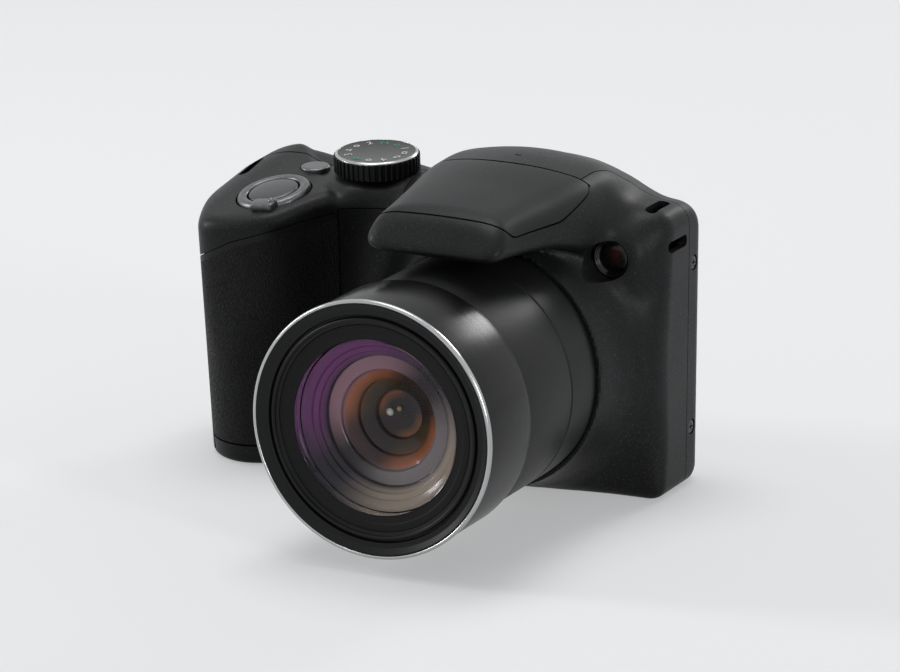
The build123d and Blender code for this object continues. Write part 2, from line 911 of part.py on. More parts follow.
def dial_face():
    low = dial_h - dial_face_t + press_gap
    return on_plane(dial_plane(), upright_rod(dial_r - dial_rim - press_gap, low, dial_h))


def zoom_ring():
    """Ring round the shutter button, with a tab at its front."""
    low = cup_floor_z + move_gap
    body = upright_rod(zoom_ring_r, low, zoom_ring_proud) - upright_rod(zoom_bore, low - overrun, overrun)
    reach = zoom_ring_r + tab_l
    middle = (zoom_bore + reach) / 2 + press_gap
    tab = Pos(0, -middle, move_gap + tab_h / 2) * Box(tab_w, reach - zoom_bore - press_gap, tab_h)
    tab = fillet(tab.edges().filter_by(Axis.X).group_by(Axis.Z)[-1], tab_h / 3)
    return on_plane(shutter_plane(), body + tab)


def shutter_button():
    """Round button on a stem that reaches the switch."""
    low = shutter_proud - shutter_t
    body = upright_rod(shutter_r, low, shutter_proud)
    body = fillet(body.edges().group_by(Axis.Z)[-1], shutter_proud / 2)
    body += upright_rod(shutter_stem_r, low - shutter_stem_l, low + shutter_t / 2)
    return on_plane(shutter_plane(), body)


def shutter_switch():
    """Round switch board in the lower end of the zoom ring's cup."""
    return on_plane(shutter_plane(), upright_rod(cup_r - press_gap, -cup_depth, switch_board_t - cup_depth))


def flanged_rod(radius, low, high, shelf):
    """Button pin with a flange whose top is at the shelf."""
    return upright_rod(radius, low, high) + upright_rod(radius + flange_w, shelf - flange_t, shelf)


def power_button():
    shelf = -wall - move_gap
    return on_plane(power_plane(), flanged_rod(power_r, shelf - flange_t, power_proud, shelf))


# Flash


def flash_lid():
    """Pop-up lid with two arms that turn on the hinge pin."""
    region = lid_region(0)
    body = (hump_form(0) - hump_form(flash_skin)) & region
    under = hump_form(flash_skin / 2)
    ends = (flash_axis_y - arm_r, flash_axis_y + arm_r)
    for side in (-1, 1):
        limits = sorted((side * arm_x, side * (arm_x + arm_w)))
        body += hinge_rod(arm_r, hump_ridge_mid) & block(limits, ends, (0, crown_mid_z))
        body += block(limits, ends, (flash_axis_z, crown_mid_z)) & under
    return body - hinge_rod(pin_r + press_gap, hump_ridge_mid)


def flash_hinge_pin():
    return hinge_rod(pin_r, arm_x + arm_w + move_gap + rib)


def flash_well():
    """Bracket under the lid with the two ears that carry the hinge pin."""
    ear_in = arm_x + arm_w + move_gap
    ear_out = ear_in + rib
    floor_top = well_floor_z + well_floor_t
    body = block((-ear_out, ear_out), (well_front_y, well_rear_y), (well_floor_z, floor_top))
    ends = (flash_axis_y - arm_r, flash_axis_y + arm_r)
    for side in (-1, 1):
        limits = sorted((side * ear_in, side * ear_out))
        body += block(limits, ends, (well_floor_z, flash_axis_z))
        body += hinge_rod(arm_r, ear_out) & block(limits, ends, (0, crown_mid_z))
    return body - hinge_rod(pin_r + running_gap, ear_out + overrun)


def housing_prism(half):
    points = [
        (-half, housing_front_y, housing_brow_z),
        (-half, housing_chin_y, housing_low_z),
        (-half, housing_rear_y, housing_low_z),
        (-half, housing_rear_y, crown_mid_z),
        (-half, housing_front_y, crown_mid_z),
    ]
    return prism(points, (1, 0, 0), 2 * half)


def window_plane():
    """Plane of the slanted flash window, facing down and forward while the lid is shut."""
    run = housing_chin_y - housing_front_y
    drop = housing_brow_z - housing_low_z
    middle = (0, (housing_chin_y + housing_front_y) / 2, (housing_brow_z + housing_low_z) / 2)
    return Plane(middle, x_dir=(1, 0, 0), z_dir=(0, -drop, -run))


def trough(radius, half):
    """Round bar across the flash window's middle."""
    return on_plane(window_plane(), Rot(0, 90, 0) * Cylinder(radius, 2 * half))


def flash_housing():
    body = housing_prism(housing_half) & hump_form(flash_skin + press_gap)
    return body - trough(reflector_r + press_gap, window_half)


def flash_reflector():
    body = trough(reflector_r, window_half - press_gap) - trough(reflector_r - reflector_t, window_half)
    return body & housing_prism(housing_half)


def flash_tube():
    depth = reflector_r - reflector_t - flash_tube_r - press_gap
    bar = Pos(0, 0, -depth) * (Rot(0, 90, 0) * Cylinder(flash_tube_r, 2 * (window_half - 2 * press_gap)))
    return on_plane(window_plane(), bar)


def flash_window():
    run = housing_chin_y - housing_front_y
    drop = housing_brow_z - housing_low_z
    plate = Box(2 * window_half, hypot(run, drop) - move_gap, window_t)
    return on_plane(window_plane(), Pos(0, 0, window_t / 2 + press_gap) * plate)


# Lens


def lens_sleeve():
    return lens_tube(sleeve_r, sleeve_r - sleeve_wall, sleeve_front_y, lens_base_y)


def lens_base():
    """Plate behind the sleeve with the rear lens tube, the sensor window and three posts."""
    body = lens_disc(sleeve_r, lens_base_y, lens_base_rear_y)
    body += lens_tube(rear_tube_r, rear_tube_r - rear_tube_wall, rear_tube_y, lens_base_y)
    half_w, half_h = (sensor_w - sensor_t) / 2, (sensor_h - sensor_t) / 2
    z_limits = (lens_z - half_h, lens_z + half_h)
    body -= block((-half_w, half_w), (lens_base_y - overrun, 0), z_limits)
    for angle in post_places_deg:
        x = sleeve_r * post_ring_share * cos(radians(angle))
        z = lens_z + sleeve_r * post_ring_share * sin(radians(angle))
        body += rod(post_r, (x, lens_base_rear_y, z), (x, chassis_y - press_gap, z))
    return body


def image_sensor():
    y = lens_base_rear_y + press_gap
    half = sensor_w / 2
    return block((-half, half), (y, y + sensor_t), (lens_z - sensor_h / 2, lens_z + sensor_h / 2))


def rear_lens():
    radius = rear_tube_r - rear_tube_wall - press_gap
    return lens_shape(radius, rear_lens_edge, rear_lens_bulge, rear_lens_bulge, rear_lens_y)


def iris_plate():
    radius = rear_tube_r - rear_tube_wall - press_gap
    return lens_tube(radius, iris_bore, rear_tube_y + iris_t, rear_tube_y + 2 * iris_t)


def zoom_motor():
    rear_y = chassis_y - press_gap
    return rod(motor_r, (motor_x, rear_y - motor_l, motor_z), (motor_x, rear_y, motor_z))


def mid_barrel():
    return lens_tube(mid_r, mid_r - mid_wall, sleeve_front_y, mid_rear_y)


def front_barrel():
    """Outer shell with its rear web, the inner tube and the seats of two lenses."""
    bore = tube_r - tube_wall
    body = lens_tube(shell_r, shell_bore, ring_face_y, shell_rear_y)
    body += lens_tube(shell_r, bore, shell_rear_y - web_t, shell_rear_y)
    body += lens_tube(tube_r, bore, lens_seat_y, tube_rear_y)
    body += lens_tube(shell_r, front_lens_r - lens_seat_lap, lens_seat_y, lens_seat_y + lens_seat_t)
    body += lens_tube(tube_r, second_lens_r - second_seat_lap, second_seat_y, second_seat_y + second_seat_t)
    rim = second_lens_r + press_gap
    body += lens_tube(rim + rib, rim, second_seat_y - second_lens_edge, second_seat_y)
    return body


def trim_ring():
    return lens_tube(trim_ring_r, trim_ring_r - trim_ring_w, shell_front_y, ring_face_y)


def front_ring():
    """Flat ring at the front, with a groove and small steps towards its bore."""
    rear_y = shell_front_y + front_ring_t
    body = lens_disc(trim_ring_r - trim_ring_w - press_gap, shell_front_y, ring_face_y - press_gap)
    body += lens_disc(shell_bore - press_gap, shell_front_y, rear_y)
    groove = lens_disc(groove_r, shell_front_y, shell_front_y + groove_depth)
    body -= groove - lens_disc(groove_r - groove_w, shell_front_y - overrun, rear_y)
    for step in range(1, step_count + 1):
        radius = front_ring_bore + step * step_w
        step_y = shell_front_y + (step_count + 1 - step) * step_t
        body -= lens_disc(radius, shell_front_y - overrun, step_y)
    return body - lens_disc(front_ring_bore, shell_front_y - overrun, rear_y + overrun)


def funnel():
    """Matt cone from the front ring to the front lens, which it holds on its seat."""
    front_y = shell_front_y + front_ring_t + press_gap
    lens_front = front_lens_y - front_lens_edge / 2
    back_y = lens_front - press_gap
    rim_rise = front_lens_bulge * (1 - (funnel_bore / front_lens_r) ** 2)
    points = [
        (front_ring_bore, front_y, lens_z),
        (front_ring_bore + funnel_t, front_y, lens_z),
        (front_lens_r + press_gap + rib, back_y, lens_z),
        (front_lens_r + press_gap + rib, lens_seat_y - press_gap, lens_z),
        (front_lens_r + press_gap, lens_seat_y - press_gap, lens_z),
        (front_lens_r + press_gap, back_y, lens_z),
        (funnel_bore, back_y - rim_rise, lens_z),
    ]
    return revolve(polygon_face(points), Axis((0, 0, lens_z), (0, 1, 0)), 360)


def front_lens():
    return lens_shape(front_lens_r, front_lens_edge, front_lens_bulge, 0, front_lens_y)


def second_lens():
    return lens_shape(second_lens_r, second_lens_edge, second_lens_bulge, 0, second_lens_y)


# Autofocus lamp


def lamp_bezel():
    body = lamp_rod(lamp_r, lamp_front_y, lamp_front_y + lamp_depth)
    return body - lamp_rod(lamp_r - lamp_rim, lamp_front_y - overrun, lamp_front_y + lamp_depth - rib)


def lamp_window():
    front = lamp_front_y + lamp_recess
    return lamp_rod(lamp_r - lamp_rim - press_gap, front, front + lamp_glass_t)


def lamp_bulb():
    front = lamp_front_y + lamp_recess + lamp_glass_t + press_gap
    return lamp_rod(lamp_bulb_r, front, lamp_front_y + lamp_depth - rib - press_gap)


# Back


def rear_rod(radius, x, z, front_y, rear_y):
    return rod(radius, (x, front_y, z), (x, rear_y, z))


def rear_buttons():
    return {
        "movie_button": (movie_x, movie_z, movie_r),
        "playback_button": (playback_x, playback_z, playback_r),
        "menu_button": (menu_x, menu_z, menu_r),
    }


def rear_button(x, z, radius):
    """Round key with a flange inside the wall."""
    flange_rear = rear_inner_y - move_gap
    flange_front = flange_rear - flange_t
    body = rear_rod(radius, x, z, flange_front, case_rear_y + button_proud)
    body = fillet(body.edges().group_by(Axis.Y)[-1], button_proud / 2)
    return body + rear_rod(radius + flange_w, x, z, flange_front, flange_rear)


def four_way_pad():
    """Rocking ring round the centre button."""
    front = rear_inner_y - move_gap
    body = rear_rod(pad_r, pad_x, pad_z, front, case_rear_y + button_proud)
    body = fillet(body.edges().group_by(Axis.Y)[-1], button_proud / 2)
    return body - rear_rod(pad_bore, pad_x, pad_z, front - overrun, case_rear_y + overrun)


def centre_button():
    front = rear_inner_y - move_gap
    body = rear_rod(centre_r, pad_x, pad_z, front, case_rear_y + button_proud)
    return fillet(body.edges().group_by(Axis.Y)[-1], button_proud / 2)


def thumb_block(grow):
    """Pad where the thumb rests, let into the back."""
    half_w, half_h = thumb_w / 2 + grow, thumb_h / 2 + grow
    front = case_rear_y - thumb_t / 2 - grow
    points = [
        (thumb_x - half_w, front, thumb_z - half_h),
        (thumb_x + half_w, front, thumb_z - half_h),
        (thumb_x + half_w, front, thumb_z + half_h),
        (thumb_x - half_w, front, thumb_z + half_h),
    ]
    return prism(points, (0, 1, 0), thumb_t + grow, [thumb_r] * 4)


def screen_plate(thickness, front_y, inset):
    half_w, half_h = screen_w / 2 - inset, screen_h / 2 - inset
    points = [
        (screen_x - half_w, front_y, screen_z - half_h),
        (screen_x + half_w, front_y, screen_z - half_h),
        (screen_x + half_w, front_y, screen_z + half_h),
        (screen_x - half_w, front_y, screen_z + half_h),
    ]
    return prism(points, (0, 1, 0), thickness, [screen_corner_r] * 4)


def screen_glass():
    return screen_plate(screen_glass_t, case_rear_y + screen_proud - screen_glass_t, 0)


def screen_panel():
    return screen_plate(screen_panel_t, rear_inner_y - press_gap - screen_panel_t, screen_bezel / 2)


# Inside


def chassis_plate():
    """Metal plate that carries the lens, the board and the tripod socket."""
    x_limits, z_limits = (chassis_left_x, chassis_right_x), (chassis_low_z, chassis_high_z)
    body = block(x_limits, (chassis_y, chassis_y + chassis_t), z_limits)
    body -= rod(tripod_flange_r + move_gap, (0, 0, 0), (0, 0, chassis_low_z + tripod_l))
    for x in (chassis_left_x + 2 * board_margin, chassis_right_x - 2 * board_margin):
        for z in (chassis_low_z + 3 * board_margin, chassis_high_z - 3 * board_margin):
            body += rear_rod(standoff_r, x, z, chassis_y + chassis_t, board_y - press_gap)
    return body


def main_board():
    """Circuit board with three large chips."""
    x_limits = (chassis_left_x + board_margin, chassis_right_x - board_margin)
    z_limits = (chassis_low_z + 2 * board_margin, chassis_high_z - board_margin)
    body = block(x_limits, (board_y, board_y + board_t), z_limits)
    half = chip_w / 2
    chip_limits = (board_y + board_t, board_y + board_t + chip_t)
    for x, z in chip_places:
        body += block((x - half, x + half), chip_limits, (z - half, z + half))
    return body


def flash_capacitor():
    y = chassis_y - press_gap - cap_r
    return rod(cap_r, (-cap_l / 2, y, cap_z), (cap_l / 2, y, cap_z))


def speaker():
    rear_y = chassis_y - press_gap
    return rear_rod(speaker_r, speaker_x, speaker_z, rear_y - speaker_t, rear_y)


# Grip contents


def bay_box(x, thickness, width, low_z, high_z, grow):
    """Upright slab inside the grip, flush with the back of the bay."""
    half = thickness / 2 + grow
    rear_y = bay_rear_y - bay_wall
    return block((x - half, x + half), (rear_y - width - grow, rear_y + grow), (low_z, high_z))


def battery():
    return bay_box(battery_x, battery_t, battery_w - seat_gap, bay_low_z, bay_low_z + battery_h, 0)


def memory_card():
    return bay_box(card_x, card_t, card_w, bay_low_z, bay_low_z + card_h, 0)


def battery_bay():
    """Open-bottomed tray that holds the battery and the card."""
    left = battery_x - battery_t / 2 - bay_wall - seat_gap
    right = card_x + card_t / 2 + bay_wall + seat_gap
    front = bay_rear_y - 2 * bay_wall - card_w - seat_gap
    body = block((left, right), (front, bay_rear_y), (bay_low_z, bay_high_z))
    body = fillet(body.edges().filter_by(Axis.Z).group_by(Axis.X)[0].sort_by(Axis.Y)[0], bay_corner_r)
    low = bay_low_z - overrun
    body -= bay_box(battery_x, battery_t, battery_w, low, bay_high_z - bay_wall, seat_gap)
    return body - bay_box(card_x, card_t, card_w, low, bay_low_z + card_h + seat_gap, seat_gap)


def battery_contacts():
    """Spring blades between the battery and the roof of its bay."""
    high = bay_high_z - bay_wall - press_gap
    low = bay_low_z + battery_h + press_gap
    middle_y = bay_rear_y - bay_wall - battery_w / 2
    x_limits = (battery_x - contact_w, battery_x + contact_w)
    blades = []
    for index in range(contact_count):
        y = middle_y + (index - (contact_count - 1) / 2) * contact_pitch
        blades.append(block(x_limits, (y - contact_t, y + contact_t), (low, high)))
    return Compound(blades)


def door_solid(grow, top_z):
    """Outline of the battery door."""
    left, right = door_left_x - grow, door_right_x + grow
    points = [
        (left, door_rear_y + grow, -overrun),
        (right, door_rear_y + grow, -overrun),
        (right, door_side_y - grow, -overrun),
        (door_front_right_x + grow, door_front_y - grow, -overrun),
        (door_front_left_x - grow, door_front_y - grow, -overrun),
        (left, door_side_y - grow, -overrun),
    ]
    return prism(points, (0, 0, 1), top_z + overrun)


def door_pin_ends():
    low, high = door_side_y - door_pin_l, door_rear_y + door_pin_l
    return (door_axis_x, low, door_axis_z), (door_axis_x, high, door_axis_z)


def battery_door():
    """Door under the grip, with its knuckle and the slot of the latch."""
    body = door_solid(0, door_t) & wide(door_front_y, door_rear_y, 0, door_t)
    ends = (door_axis_x, door_side_y, door_axis_z), (door_axis_x, door_rear_y, door_axis_z)
    body += rod(knuckle_r, *ends)
    body += block((door_right_x - rib, door_axis_x), (door_side_y, door_rear_y), (0, door_axis_z))
    body -= rod(door_pin_r + press_gap, *door_pin_ends())
    slot_x = (door_left_x - overrun, door_left_x + latch_l - latch_lap + latch_travel + move_gap)
    half = latch_w / 2 + seat_gap
    return body - block(slot_x, (latch_y - half, latch_y + half), (-overrun, latch_t + move_gap))


def door_hinge_pin():
    return rod(door_pin_r, *door_pin_ends())


def latch_tongue(grow):
    """Sliding latch, whose end reaches into the base cover."""
    x_limits = (door_left_x - latch_lap - seam_gap - grow, door_left_x + latch_l - latch_lap + grow)
    half = latch_w / 2 + grow
    return block(x_limits, (latch_y - half, latch_y + half), (press_gap - grow, latch_t + grow))


def door_latch():
    return latch_tongue(0)


def terminal_solid(depth, grow):
    """Flap area on the side of the grip, down to a depth under the surface."""
    z_limits = (terminal_low_z - grow, terminal_high_z + grow)
    y_limits = (terminal_front_y - grow, terminal_rear_y + grow)
    return grip_skin(depth) & block((left_high_x - overrun, grip_side_x), y_limits, z_limits)


def flap_axis():
    """Hinge line of the flap, along the leaning side of the grip."""
    lean = (left_high_x - left_low_x) / left_high_z
    inset = terminal_t / 2
    ends = []
    for z in (terminal_low_z, terminal_high_z):
        ends.append((left_low_x + lean * z + inset, terminal_rear_y - inset, z))
    return ends


def terminal_cover():
    """Soft flap over the sockets, rounded where it folds."""
    low, high = flap_axis()
    flat = terminal_solid(terminal_t, 0) & wide(-overrun, low[1], 0, crown_mid_z)
    return flat + rod(terminal_t / 2 - press_gap, low, high)


def sockets(grow):
    """Two connectors in the side wall behind the flap."""
    middle_y = (terminal_front_y + terminal_rear_y) / 2
    outer_x = left_high_x + 2 * terminal_t
    shapes = []
    for z in socket_zs:
        y_limits = (middle_y - socket_w / 2 - grow, middle_y + socket_w / 2 + grow)
        z_limits = (z - socket_h / 2 - grow, z + socket_h / 2 + grow)
        shapes.append(block((outer_x, outer_x + socket_l), y_limits, z_limits))
    return shapes


# Fasteners and tripod socket


def screw(place, way, grow):
    """Screw with a flat head whose top is at the given place."""
    start = Vector(*place)
    way = Vector(*way)
    head_end = start + way * screw_head_t
    end = head_end + way * (screw_l + grow)
    body = rod(screw_head_r + grow, tuple(start - way * grow), tuple(head_end))
    body += rod(screw_r + grow, tuple(head_end), tuple(end))
    slot_w = screw_r
    if not grow:
        mark = Plane(place, z_dir=tuple(way)).location * Box(slot_w / 2, 2 * slot_w, slot_w)
        mark += Plane(place, z_dir=tuple(way)).location * Box(2 * slot_w, slot_w / 2, slot_w)
        body -= mark
    return body


def side_screw(z, grow):
    return screw((right_x - press_gap, side_screw_y, z), (-1, 0, 0), grow)


def base_screw(place, grow):
    return screw((place[0], place[1], press_gap), (0, 0, 1), grow)


def case_screws():
    parts = [side_screw(z, 0) for z in side_screw_zs]
    return Compound(parts + [base_screw(place, 0) for place in base_screw_places])


def tripod_socket():
    """Metal insert with a blind bore, flanged above the bottom plate."""
    top = tripod_l + tripod_cap
    body = rod(tripod_r + tripod_wall, (0, 0, 0), (0, 0, top))
    body += rod(tripod_flange_r, (0, 0, base_t + press_gap), (0, 0, base_t + press_gap + tripod_flange_t))
    return body - rod(tripod_r, (0, 0, -overrun), (0, 0, tripod_l))


def main():
    outer, inner = outer_form(), inner_form()
    nodes = {
        "front_cover": front_cover(outer, inner),
        "rear_cover": rear_cover(outer, inner),
        "top_cover": top_cover(outer, inner),
        "base_cover": base_cover(outer),
        "grip_rubber": grip_rubber(),
        "grip_trim": grip_trim(),
        "terminal_block": Compound(sockets(0)),
    }
    makers = (
        flash_lid, flash_hinge_pin, flash_well, flash_housing, flash_reflector, flash_tube, flash_window,
        mode_dial, dial_face, zoom_ring, shutter_button, shutter_switch, power_button,
        lens_sleeve, lens_base, image_sensor, rear_lens, iris_plate, zoom_motor, mid_barrel, front_barrel,
        trim_ring, front_ring, funnel, front_lens, second_lens, lamp_bezel, lamp_window, lamp_bulb,
        four_way_pad, centre_button, screen_glass, screen_panel, chassis_plate, main_board,
        flash_capacitor, speaker, battery, memory_card, battery_bay, battery_contacts, battery_door,
        door_hinge_pin, door_latch, terminal_cover, case_screws, tripod_socket,
    )
    for maker in makers:
        nodes[maker.__name__] = maker()
    nodes["thumb_pad"] = thumb_block(0)
    for name, (x, z, radius) in rear_buttons().items():
        nodes[name] = rear_button(x, z, radius)
    os.makedirs("parts", exist_ok=True)
    for name, shape in nodes.items():
        export_step(shape, f"parts/{name}.step")


if __name__ == "__main__":
    main()
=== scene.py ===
import json
import math

import bmesh
import bpy
import numpy as np
from mathutils import Matrix, Vector


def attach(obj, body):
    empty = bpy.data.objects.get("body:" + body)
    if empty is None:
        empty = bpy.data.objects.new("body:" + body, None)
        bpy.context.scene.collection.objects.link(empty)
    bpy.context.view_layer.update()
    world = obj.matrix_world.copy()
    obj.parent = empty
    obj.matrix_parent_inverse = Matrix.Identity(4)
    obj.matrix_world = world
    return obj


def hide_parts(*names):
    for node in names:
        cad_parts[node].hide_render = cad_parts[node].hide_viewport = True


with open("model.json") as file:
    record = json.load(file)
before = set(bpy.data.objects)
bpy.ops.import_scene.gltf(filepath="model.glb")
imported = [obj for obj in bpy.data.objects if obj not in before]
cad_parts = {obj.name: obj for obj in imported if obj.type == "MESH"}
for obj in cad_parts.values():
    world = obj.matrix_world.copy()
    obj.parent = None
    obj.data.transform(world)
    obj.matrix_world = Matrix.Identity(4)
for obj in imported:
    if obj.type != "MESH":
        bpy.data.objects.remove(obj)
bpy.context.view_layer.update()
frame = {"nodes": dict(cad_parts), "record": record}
nodes = frame["nodes"]
collection = bpy.context.scene.collection
record = frame["record"]
SLOTS = {row["node"]: row["material_slot"] for row in record["subparts"]}
BODIES = {name: body for body, names in record["behaviour"]["bodies"].items() for name in names}

# Sizes and places are in millimetres, in the frame of the CAD
MM = 0.001
LENS_Z = 28.87
SKIN, SEAM = 1.6, 0.1
FAR = 120.0
DIAL, SHUTTER, POWER = (-37.4, -0.6), (-53.4, -15.4), (-51, -2.2)
LAMP, HINGE = (21.2, 50.4), (-20.5, 63.0)
MOVIE, PLAYBACK, MENU, ROCKER, THUMB = (-47.5, 50), (-61, 43), (-56, 9.5), (-56, 26), (-61, 52)
BASE_SCREWS, SIDE_SCREWS, SIDE_SCREW_Y = ((23, 4.6), (-20, 4.6), (-36, -3.4)), (12.1, 46.4), 5.6
RIGHT, BACK = 30.9, 11

# Decks: height where y is 0, and rise towards the back; the deck of the shutter also leans to one side
SHUTTER_DECK, SHUTTER_RISE, SHUTTER_LEAN = 59.3, 0.23, 0.12
DIAL_DECK, DIAL_RISE = 58.7, 0.07

# Seams: end of the grip's rubber, side seam, seam of the back, top of the base
GRIP_END, SIDE_SEAM, BACK_SEAM, BASE_TOP = -39.4, -4.6, 3.2, 2.2


# The casing's soft outer form is a field: the distance to its surface in millimetres


def smax(a, b, k):
    """Larger of two fields, with their meeting rounded over k."""
    h = np.maximum(k - np.abs(a - b), 0) / k
    return np.maximum(a, b) + h * h * k / 4


def smin(a, b, k):
    return -smax(-a, -b, k)


def fade(value):
    """Smooth step from 0 to 1."""
    t = np.clip(value, 0, 1)
    return t * t * (3 - 2 * t)


def curve(x, *points):
    """Smooth line through points, level beyond both ends."""
    px, py = np.array(points, float).T
    slope = np.gradient(py, px)
    x = np.clip(x, px[0], px[-1])
    i = np.clip(np.searchsorted(px, x) - 1, 0, len(px) - 2)
    width = px[i + 1] - px[i]
    t = (x - px[i]) / width
    start = (2 * t**3 - 3 * t**2 + 1) * py[i] + (t**3 - 2 * t**2 + t) * width * slope[i]
    return start + (3 * t**2 - 2 * t**3) * py[i + 1] + (t**3 - t**2) * width * slope[i + 1]


def wall(u, v, au, av, bu, bv):
    """Distance out from a straight wall; the outline runs anticlockwise from a to b."""
    return ((bv - av) * (u - au) - (bu - au) * (v - av)) / np.hypot(bu - au, bv - av)


def flare(r):
    """Level in y of the flare round the lens at a radius."""
    return curve(
        r, (25.2, -25.7), (25.9, -20.8), (27.0, -16.8), (28.9, -13.4), (31.5, -11.1), (34.5, -9.8),
        (39, -9.1), (46, -9),
    )


def front_field(x, y, z):
    """Front of the casing with the flare."""
    r = np.hypot(x, z - LENS_Z)
    rise = (flare(r + 0.1) - flare(r - 0.1)) / 0.2
    return (flare(r) - y) / np.sqrt(1 + rise**2)


def grip_field(x, y, z):
    """Upright sides of the grip, which leans forward towards the top."""
    t = z / 66
    left, front, inner = -71.8 - 2.42 * t, -25.5 - 7.7 * t, -40 + 3.5 * t
    side = smax(wall(x, y, left, 11, left, -8.6), wall(x, y, left, -8.6, -62.9, front), 3)
    nose = smax(wall(x, y, -62.9, front, -50.5, front), wall(x, y, -50.5, front, inner, -9), 10)
    return smax(side, nose, 8)


def plateau_field(x, y, z):
    """Sloping deck of the shutter and the flatter deck of the dial, with a valley round both."""
    island = np.hypot(x + 54.2, y + 14.6) - 10.2
    island = np.minimum(island, wall(x, y, -49.5, -5.5, -60.5, 8))
    valley = 1.1 * fade(island / 3.2) * fade((np.hypot(x - DIAL[0], y - DIAL[1]) - 9.4) / 3)
    lift = 0.0009 * np.maximum(y + 15, 0) ** 2 - valley
    steep = (z - (SHUTTER_DECK + SHUTTER_RISE * y + SHUTTER_LEAN * (x - SHUTTER[0]) + lift)) / 1.03
    flat = z - (DIAL_DECK + DIAL_RISE * y + 0.25 * np.maximum(-50 - x, 0) - valley)
    return smax(steep, flat, 2.5)


def outline_field(x, y, z):
    """Outline of the casing as seen from the front."""
    height = curve(
        x, (-40, 59.6), (-27.6, 59.9), (-18, 60.6), (0, 61), (13, 61), (20, 60), (26.7, 59.2), (34, 58.7)
    )
    height = height - 0.9 * fade((y - 1) / 9) * fade(x / 15)
    share = fade((x + 33) / 11)
    top = (1 - share) * plateau_field(x, y, z) + share * (z - height)
    low = z + 0.16 * np.maximum(-y, 0)
    corner = smax(wall(x, low, -62, 60.9, -69.6, 56.9), wall(x, low, -69.6, 56.9, -73.6, 50.5), 5)
    edges = smax(smax(top, corner, 2.5), x - RIGHT, 5)
    return smax(edges, -z, np.where(x > 0, 3.5, 5.5))


def hump_field(x, y, z):
    """Hump over the lens with its nose."""
    across = np.sqrt(x * x + 0.01)
    ridge_x = curve(y, (-52, 12.6), (-45.3, 12.7), (-30, 15), (-14, 17.5), (-5, 17.4), (3, 15.8), (11, 13.4))
    ridge_z = curve(y, (-52, 62.8), (-45.3, 63.9), (-30, 64.9), (-14, 65.9), (-4, 65.9), (3, 64.3), (11, 62))
    crown = curve(
        y, (-52, 63.6), (-45.3, 64.9), (-30, 67.2), (-17, 68.8), (-9, 69), (-2, 68.1), (4, 66.2), (11, 64.6)
    )
    skirt_x = curve(y, (-52, 15.3), (-45.3, 15.6), (-14, 20.5), (-4, 21), (11, 19.5))
    skirt_z = curve(y, (-14, 60.9), (-4, 60.9), (11, 59.2))
    low_x = curve(y, (-52, 14.2), (-45.3, 14.6), (-14, 20), (11, 22))
    low_z = curve(y, (-46, 56.6), (-30, 55.6), (-14, 52), (11, 52))
    top = (z - crown + (crown - ridge_z) * (x / ridge_x) ** 2) * 0.97
    facet = wall(across, z, skirt_x, skirt_z, ridge_x, ridge_z)
    below = wall(across, z, low_x, low_z, skirt_x, skirt_z)
    form = smax(smax(top, facet, 2.6), below, 4)
    form = smax(form, wall(y, z, -45.3, 64.9, -51, 56.6), 2.6)
    return smax(form, low_z - z, 3)


def casing_field(x, y, z):
    """Whole outside of the casing with no openings."""
    form = smin(np.maximum(front_field(x, y, z), -50 - x), grip_field(x, y, z), 9)
    away = np.hypot(x - LAMP[0], z - LAMP[1])
    form = smin(form, smax((away - 5.4 - 0.5 * (y + 13)) * 0.9, -12.9 - y, 2), 5)
    soft = curve(z, (0, 2.5), (10, 4.5), (30, 5), (50, 5.5)) * (1 - 0.45 * fade((-32 - x) / 8))
    form = smax(form, outline_field(x, y, z), soft)
    form = smin(form, hump_field(x, y, z), 5)
    scoop = 28 - np.sqrt((x + 52.5) ** 2 + (y + 55.6) ** 2 + (z - 39.5) ** 2)
    form = smax(smax(form, scoop, 6), y - BACK, 5)
    return np.maximum(form, x - 30.85)


def surface_net(name, field, low, high, step):
    """Closed mesh of a field's surface, with each point moved onto it."""
    axes = [np.arange(a, b + step, step) for a, b in zip(low, high)]
    value = field(*np.meshgrid(*axes, indexing="ij"))
    cells = np.array(value.shape)
    strides = np.array([cells[1] * cells[2], cells[2], 1])
    total = int(cells.prod())
    sums, quads = np.zeros((4, total)), []
    for axis in range(3):
        near = np.take(value, range(cells[axis] - 1), axis)
        far = np.take(value, range(1, cells[axis]), axis)
        at = np.argwhere((near < 0) != (far < 0))
        a, b = near[tuple(at.T)], far[tuple(at.T)]
        point = at.astype(float)
        point[:, axis] += a / (a - b)
        one, two = strides[(axis + 1) % 3], strides[(axis + 2) % 3]
        home = at @ strides
        ring = np.stack([home - one - two, home - two, home, home - one], 1)
        for corner in ring.T:
            sums[3] += np.bincount(corner, minlength=total)
            for k in range(3):
                sums[k] += np.bincount(corner, point[:, k], minlength=total)
        quads.append(np.where((a < 0)[:, None], ring, ring[:, ::-1]))
    used = np.flatnonzero(sums[3])
    index = np.zeros(total, int)
    index[used] = np.arange(len(used))
    spots = (sums[:3, used] / sums[3, used]).T * step + np.array(low, float)
    nudge, rounds = 0.03, 4
    for _ in range(rounds):
        here = field(*spots.T)
        sides = [field(*(spots + d).T) - field(*(spots - d).T) for d in np.eye(3) * nudge]
        slope = np.stack(sides, 1) / (2 * nudge)
        move = here[:, None] * slope / np.maximum((slope**2).sum(1), 0.2)[:, None]
        spots -= np.clip(move, -step, step)
    return mesh_piece(name, spots, index[np.concatenate(quads)])


# Making and cutting meshes


def linked(name, data):
    """New object in the scene."""
    piece = bpy.data.objects.new(name, data)
    collection.objects.link(piece)
    return piece


def settled(piece, name):
    """Plain mesh of an object as its modifiers leave it."""
    bpy.context.view_layer.update()
    data = bpy.data.meshes.new_from_object(piece.evaluated_get(bpy.context.evaluated_depsgraph_get()))
    data.name = name
    return data


